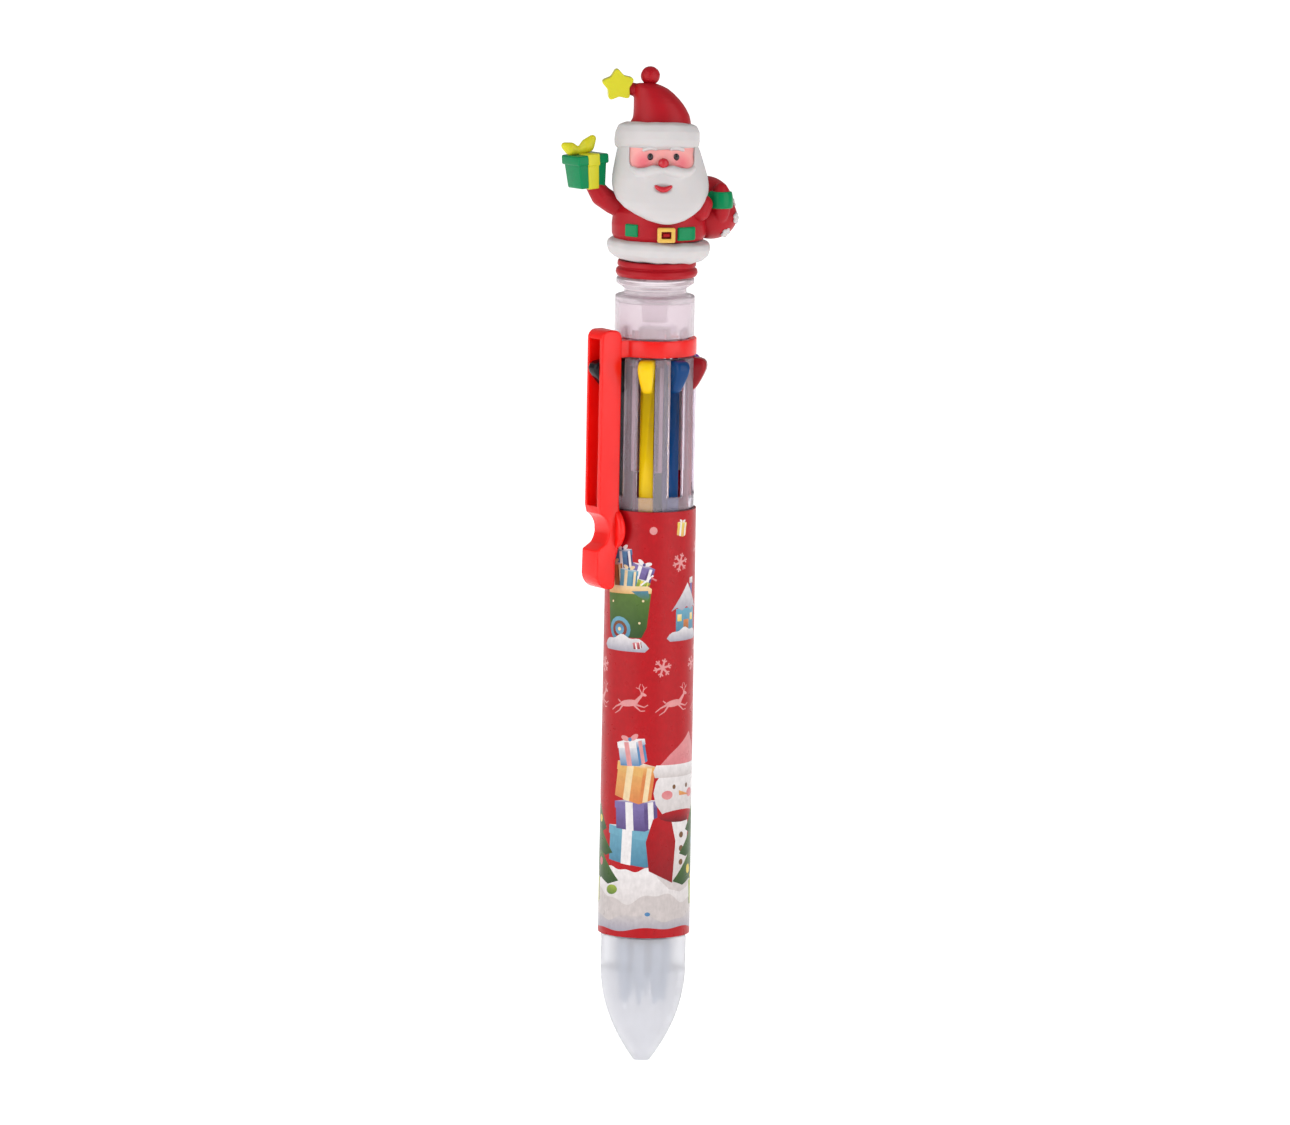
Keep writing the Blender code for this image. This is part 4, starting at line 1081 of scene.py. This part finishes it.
def raised_patch(place, start, end, bottom, top, thick=0.8):
    """A soft raised patch; place gives the spot for an angle and a height."""
    across, up = 8, 5

    def sheet(work):
        rows = []
        for row in range(up + 1):
            z = bottom + (top - bottom) * row / up
            spots = (place(start + (end - start) * column / across, z) for column in range(across + 1))
            rows.append([work.verts.new(spot) for spot in spots])
        for low, high in zip(rows, rows[1:]):
            for column in range(across):
                work.faces.new((low[column], low[column + 1], high[column + 1], high[column]))

    wall = ("SOLIDIFY", {"thickness": thick, "offset": 0.2})
    return modified(mesh_of(sheet), wall, ("SUBSURF", {"levels": 2, "render_levels": 2}))


def make_body(red, white, green, gold):
    base = [(0.0, 140.6), (6.75, 140.6), (6.85, 139.75), (6.45, 139.45), (7.0, 139.1), (7.12, 138.5),
            (6.85, 137.9), (0.0, 137.9)]
    soft_piece("base_ring", turned_about(base, 0.2, 0.3, 1.0), red, "figure_base", 50)
    hem = [(0.0, 144.3), (7.6, 144.35), (8.8, 143.95), (9.05, 143.0), (8.6, 141.9), (7.6, 140.95), (6.7, 140.6),
           (0.0, 140.6)]
    hem = lumpy(turned_about(hem, FIGURE_X, 0.8), 0.2, 0.5)
    soft_piece("fur_hem", bent(hem, lambda v: v - Vector((0, 0, 0.03 * v.x))), white, "coat_hem")
    torso = [(0.0, 151.7), (4.6, 151.7), (6.9, 150.8), (7.95, 149.2), (8.2, 147.0), (8.15, 145.2), (7.7, 144.3),
             (0.0, 144.3)]
    soft_piece("coat", turned_about(torso, FIGURE_X, 0.9), red, "torso")

    def on_coat(angle, z):
        spot = outward(math.radians(angle)) * 8.1
        return Vector((spot.x + FIGURE_X, spot.y * FLATTENED, z))

    soft_piece("belt_patch_left", raised_patch(on_coat, -44, -26, 145.25, 147.5), green, "belt_panel_left")
    soft_piece("belt_patch_right", raised_patch(on_coat, 23, 49, 144.75, 147.15), green, "belt_panel_right")
    place = facing_plane((1.75, -7.75, 145.85), 7)
    ring = joined(slab(plate(3.1, 2.6, 0.35), 0.8, place, 0.2), slab(plate(1.75, 1.25, 0.2), 3.0, place),
                  "DIFFERENCE")
    soft_piece("belt_buckle", bevelled(ring, 0.08, 2, 60), gold, "buckle")
    middle = slab(plate(1.2, 0.5, 0.2), 0.6, facing_plane((1.75, -7.6, 145.85), 7), 0.12)
    soft_piece("buckle_middle", middle, red)


def head_front(x, z):
    """How far forward the head's skin is at that place."""
    for low, high in zip(HEAD_LEVELS, HEAD_LEVELS[1:]):
        if low[0] <= z <= high[0]:
            share = (z - low[0]) / (high[0] - low[0])
            wide, deep, middle, y = (a + (b - a) * share for a, b in zip(low[1:], high[1:]))
            across = min(0.97, abs(x - middle) / wide)
            return y - deep * (1 - across**HEAD_POWER) ** (1 / HEAD_POWER)
    return HEAD_LEVELS[0][4]


def curved_pad(outline, centre, front, back):
    """A closed pad that follows the head's skin between two depths."""
    rings = 8

    def build(work):
        layers = []
        for depth in (front, back):
            middle = work.verts.new((centre[0], head_front(*centre) + depth, centre[1]))
            layer = []
            for ring in range(1, rings + 1):
                share = ring / rings
                spots = [(centre[0] + x * share, centre[1] + z * share) for x, z in outline]
                layer.append([work.verts.new((x, head_front(x, z) + depth, z)) for x, z in spots])
            layers.append((middle, layer))
        count = len(outline)
        for index in range(count):
            ahead = (index + 1) % count
            for (middle, layer), flip in zip(layers, (1, -1)):
                work.faces.new((middle, layer[0][index], layer[0][ahead])[::flip])
                for low, high in zip(layer, layer[1:]):
                    work.faces.new((low[index], high[index], high[ahead], low[ahead])[::flip])
            near, far = layers[0][1][-1], layers[1][1][-1]
            work.faces.new((near[index], far[index], far[ahead], near[ahead]))
        bmesh.ops.recalc_face_normals(work, faces=work.faces)

    return mesh_of(build)


def face_skin():
    """The skin's own tint, with soft cheeks."""
    nodes = Nodes("face_skin")
    shares = []
    for side in (-1, 1):
        cheek = ((FACE_X + side * 3.5) * MM, -6.7 * MM, 158.3 * MM)
        away = nodes.add("ShaderNodeVectorMath", {0: nodes.place, 1: cheek}, operation="DISTANCE").outputs["Value"]
        shares.append(nodes.spread(away, 1.0, 0.0, 0.5 * MM, 2.2 * MM))
    cloud = nodes.varied(tint(250, 172, 168), 0.03, 500.0)
    colour = nodes.mix(nodes.math("MAXIMUM", *shares), cloud, (*tint(244, 120, 130), 1.0))
    nodes.set(Base_Color=colour, Roughness=nodes.spread(nodes.noise(900.0), 0.38, 0.5))
    nodes.set(Specular_IOR_Level=0.3, Subsurface_Weight=0.12, Subsurface_Scale=0.0008)
    nodes.bumps((nodes.noise(420.0, 1.0), 0.00006, 0.2), (nodes.noise(4200.0, 3.0), 0.00001, 0.3))
    return nodes.material


def along_skin(spots, out=0.0):
    """A chain of balls on the head's skin, from (x, height, radius)."""
    return chain([(x, head_front(x, z) + out, z, radius) for x, z, radius in spots], 0.15)


def make_head(white):
    mass = stacked(HEAD_LEVELS, HEAD_POWER)
    opening = plate(11.2, 4.6, 1.3)
    middle = (0.75, 159.6)
    mass = joined(mass, curved_pad(opening, middle, -2.0, 0.75), "DIFFERENCE")
    lips = ball((FACE_X + 0.1, head_front(FACE_X, 154.1) - 0.3, 154.15), (1.95, 0.75, 1.0))
    mass = joined(mass, lips, "DIFFERENCE")
    lobes = []
    for side in (-1, 1):
        spots = ((0.3, 157.1, 0.7), (1.6, 157.0, 1.0), (3.0, 156.6, 0.95), (4.4, 156.7, 0.65), (5.3, 157.3, 0.35))
        lobes.append(along_skin([(FACE_X + side * x, z, radius) for x, z, radius in spots], 0.05))
    soft_piece("beard_and_hair", softened(merged(mass, *lobes), 0.13, 7), white, "head", 75)
    skin = curved_pad(plate(11.6, 5.0, 1.3), middle, 0.4, 1.4)
    soft_piece("face_front", bevelled(skin, 0.1, 2, 50), face_skin(), "face")
    brows = []
    for side in (-1, 1):
        steps = [step / 3 - 1 for step in range(7)]
        brows.append(along_skin([
            (FACE_X + side * (2.35 + 1.05 * t), 160.55 + 0.3 * (1 - t * t) - 0.12 * t, 0.42 - 0.12 * t * t)
            for t in steps
        ], 0.3))
    soft_piece("brows", softened(merged(*brows), 0.1, 5), white, sharp=75)
    eyes = [ball((x, head_front(x, EYE_Z) + 0.35, EYE_Z), (0.5, 0.3, 0.62)) for x in (FACE_X - 2.25, FACE_X + 2.25)]
    dark = soft("eye_black", tint(30, 20, 24), 0.15, 0.5)
    soft_piece("eyes", merged(*eyes), dark)
    berry = soft("mouth_red", tint(200, 30, 46), 0.28, 0.4)
    nose = ball((FACE_X + 0.05, head_front(FACE_X, 158.35) - 0.25, 158.35), (0.92, 0.85, 0.88))
    soft_piece("round_nose", nose, berry, "figure_nose")
    steps = [step / 6 - 1 for step in range(13)]
    smile = along_skin([(FACE_X + 0.1 + 1.3 * t, 153.85 + 0.5 * t * t, 0.52 - 0.24 * t * t) for t in steps], 0.05)
    soft_piece("smile", softened(smile, 0.08, 4), berry, "mouth")


def make_hat(white, red, yellow):
    brim = [(0.0, 164.55), (5.4, 164.55), (6.75, 164.1), (7.3, 162.9), (7.4, 161.5), (7.2, 160.4), (6.3, 159.8),
            (0.0, 159.8)]
    brim = lumpy(turned_about(brim, -0.1, 0.9, 0.97, -0.4, 0.12), 0.16, 0.5)
    soft_piece("fur_brim", brim, white, "hat_brim")
    edges = (
        # height, left, right, half depth
        (164.2, -4.9, 5.75, 5.0), (164.7, -4.75, 5.65, 4.8), (165.2, -4.45, 5.55, 4.65), (165.8, -4.35, 5.4, 4.5),
        (166.9, -4.3, 4.85, 4.3), (167.8, -4.3, 4.25, 4.1), (168.7, -4.3, 3.5, 3.8), (169.6, -4.3, 2.6, 3.4),
        (170.4, -4.25, 1.6, 3.0), (170.9, -4.15, 0.6, 2.5), (171.2, -3.9, -0.2, 2.0), (171.35, -3.4, -0.9, 1.3),
    )
    cone = stacked([(z, (right - left) / 2, deep, (right + left) / 2, 0.0) for z, left, right, deep in edges], 2.2)
    cone = bent(cone, lambda v: v - Vector((0, 0, 0.12 * v.y)))
    tip = chain([(-3.2, 0.0, 169.9, 1.2), (-4.8, -0.2, 170.3, 1.15), (-5.4, -0.1, 170.6, 1.0)])
    soft_piece("red_hat", softened(merged(cone, tip), 0.14, 8), red, "hat")
    bobble = lumpy(ball((-1.5, 0.0, 172.6), (1.66, 1.6, 1.62), 64, 40), 0.06, 2.2)
    soft_piece("bobble", bobble, red, "pompom")
    points = []
    for index in range(10):
        radius, turn = (3.2, 1.95)[index % 2], math.radians(95 + 36 * index)
        points.append((radius * math.cos(turn), radius * math.sin(turn)))
    star = softened(slab(fillet(points, 0.7, 4), 2.0, facing_plane((-7.05, -0.9, 171.0), 6)), 0.09, 10)
    soft_piece("hat_star", star, yellow, "star")


def rounded_box(size, z, rim, taper=1.0):
    """A box with round edges whose foot is narrower by the taper."""
    mesh = mesh_of(lambda work: bmesh.ops.create_cube(work, size=1.0))
    wide, deep, tall = size

    def placed(v):
        share = taper if v.z < 0 else 1.0
        return Vector((v.x * share * wide, v.y * share * deep, v.z * tall + z))

    return bevelled(bent(mesh, placed), rim, 4, 30)


def make_gift(green, yellow):
    stand = Matrix.Translation((-12.35, -2.0, 156.2)) @ Matrix.Rotation(math.radians(-4), 4, "Y")
    place = stand @ Matrix.Rotation(math.radians(33), 4, "Z")
    box = joined(rounded_box((5.8, 5.3, 5.6), -0.15, 0.35, 0.86), rounded_box((6.25, 5.75, 1.7), 2.0, 0.35))
    bands = joined(rounded_box((2.3, 5.7, 6.0), -0.1, 0.22, 0.88), rounded_box((2.3, 6.15, 2.1), 2.0, 0.22))
    ears = [
        chain([(-1.0, -0.2, 3.4, 0.6), (0.5, 0.0, 4.3, 1.25), (1.4, 0.1, 5.4, 0.7)], 0.2),
        chain([(-1.0, -0.2, 3.4, 0.6), (-2.4, -0.6, 3.9, 1.15), (-3.4, -0.9, 4.5, 0.65)], 0.2),
        ball((-1.0, -0.2, 3.5), (0.85, 0.8, 0.7)),
    ]
    bow = bent(merged(*ears), lambda v: Vector((v.x, v.y * 0.8, v.z)))
    box.transform(place)
    bands.transform(place)
    bow.transform(stand)
    soft_piece("parcel", box, green, "gift_box", 40)
    soft_piece("parcel_ribbon", merged(bands, softened(bow, 0.12, 5)), yellow, "gift_ribbon", 45)


def make_arms_and_sack(red, green, white):
    arm = chain([(-5.4, -0.8, 149.3, 1.9), (-7.6, -1.3, 150.4, 1.85), (-9.6, -1.8, 151.8, 1.85),
                 (-10.7, -2.0, 153.4, 1.6)])
    soft_piece("gift_arm", softened(arm, 0.14, 6), red, "raised_arm")
    bag = softened(merged(
        ball((8.4, 3.4, 150.3), (4.75, 4.8, 4.65)),
        ball((9.3, 3.4, 148.0), (4.7, 4.9, 4.0)),
        ball((11.1, -0.5, 150.8), (1.75, 1.7, 3.6)),
        chain([(7.2, 1.6, 153.6, 1.6), (6.0, 0.4, 154.3, 1.2)]),
    ), 0.2, 6)
    skin = BVHTree.FromPolygons([v.co for v in bag.vertices], [face.vertices[:] for face in bag.polygons])

    def on_bag(x, y):
        """Finds the bag's skin towards an upright axis at x and y, for an angle and a height."""

        def place(angle, z):
            out = outward(math.radians(angle))
            spot, normal = skin.ray_cast(Vector((x, y, z)) + out * 20.0, -out)[:2]
            return spot + normal * 0.1

        return place

    cuff = raised_patch(on_bag(11.1, 0.4), -62, 72, 149.9, 152.8, 0.6)
    soft_piece("sack_patch", cuff, green)
    petals = [ball((0.62 * c, 0.62 * n, 0), (0.42, 0.42, 0.3)) for c, n in circle(5)]
    flower = softened(merged(*petals, ball((0, 0, 0), (0.55, 0.55, 0.38))), 0.09, 3)
    flakes = []
    places = ((68, 147.9, 0), (47, 145.5, 32), (104, 150.3, -16), (140, 147.0, 12), (176, 150.6, -16))
    for angle, height, tilt in places:
        flake = flower.copy()
        flake.transform(facing_plane(on_bag(9.2, 3.4)(angle, height), angle, tilt))
        flakes.append(flake)
    soft_piece("sack_flakes", merged(*flakes), white)
    soft_piece("gift_sack", bag, red, "sack", 75)
    arm = merged(chain([(5.4, -2.8, 149.7, 2.0), (7.5, -3.3, 149.7, 1.8), (8.1, -2.9, 150.8, 1.6)]),
                 ball((8.35, -3.6, 150.9), (0.7, 0.75, 1.0)))
    soft_piece("sack_arm", softened(arm, 0.14, 6), red, "carrying_arm")


def make_figure():
    red = soft("soft_red", tint(178, 12, 28), 0.42, 0.2, 0.05)
    white = soft("soft_white", tint(213, 208, 208), 0.5, 0.25, 0.02)
    green = soft("soft_green", tint(0, 136, 82), 0.2, 0.14, 0.05)
    yellow = soft("soft_yellow", tint(218, 212, 40), 0.34, 0.25, 0.03)
    gold = soft("soft_gold", tint(232, 186, 84), 0.35, 0.35, 0.05)
    make_body(red, white, green, gold)
    make_head(white)
    make_hat(white, red, yellow)
    make_gift(green, yellow)
    make_arms_and_sack(red, green, white)


make_figure()


# Floor, light and camera


def make_floor():
    mesh = mesh_of(lambda work: bmesh.ops.create_grid(work, x_segments=8, y_segments=8, size=6.0))
    nodes = Nodes("pale_floor")
    nodes.set(Base_Color=nodes.varied((0.88, 0.88, 0.88), 0.01, 3.0), Roughness=0.9)
    nodes.set(Emission_Color=(1.0, 1.0, 1.0, 1.0), Emission_Strength=0.78)
    nodes.bumps((nodes.noise(900.0), 0.00005, 0.1))
    floor = new_object("floor", mesh, nodes.material, body=None)
    floor.location.z = -3.0 * MM
    floor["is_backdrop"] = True


def make_light(name, place, size, power):
    """A soft box that faces the pen's middle."""
    light = bpy.data.lights.new(name, "AREA")
    light.shape = "RECTANGLE"
    light.size, light.size_y = size
    light.energy = power
    item = linked(name, light)
    item.location = place
    item.rotation_euler = (Vector((0.0, 0.0, 0.087)) - Vector(place)).to_track_quat("-Z", "Y").to_euler()


def make_world(seen, through, around):
    """White where the camera sees it, a little dimmer through clear plastic, and dimmer again as light."""
    world = bpy.data.worlds.new("studio")
    nodes = Tree(world, "Background")
    path = nodes.add("ShaderNodeLightPath").outputs
    level = around
    for output, gain in (("Is Camera Ray", seen - around), ("Is Transmission Ray", through - around)):
        links = {0: path[output], 1: gain, 2: level}
        level = nodes.add("ShaderNodeMath", links, operation="MULTIPLY_ADD").outputs[0]
    nodes.set(Color=(1.0, 1.0, 1.0, 1.0), Strength=level)
    bpy.context.scene.world = world


def make_camera():
    distance, rise, centre = 2.5, math.radians(8.5), Vector((-0.9 * MM, 0.0, 87.6 * MM))
    camera = linked("camera", bpy.data.cameras.new("camera"))
    camera.data.sensor_width = 36.0
    camera.data.lens = 402.0
    camera.data.clip_start, camera.data.clip_end = 0.01, 30.0
    back = Vector((0.0, -math.cos(rise), math.sin(rise)))
    camera.location = centre + back * distance
    look = (-back).to_track_quat("-Z", "Y").to_matrix().to_4x4()
    camera.rotation_euler = (look @ Matrix.Rotation(math.radians(1.04), 4, "Z")).to_euler()
    bpy.context.scene.camera = camera


make_floor()
make_world(1.0, 0.85, 0.4)
make_light("left_softbox", (-0.62, -0.42, 0.22), (0.8, 1.1), 5.5)
make_light("right_softbox", (0.55, -0.42, 0.22), (0.62, 1.1), 4.3)
make_camera()
bpy.context.scene.view_settings.view_transform = "Standard"

visual_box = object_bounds()
[[list(corner) for corner in box] for box in (cad_box, visual_box)]
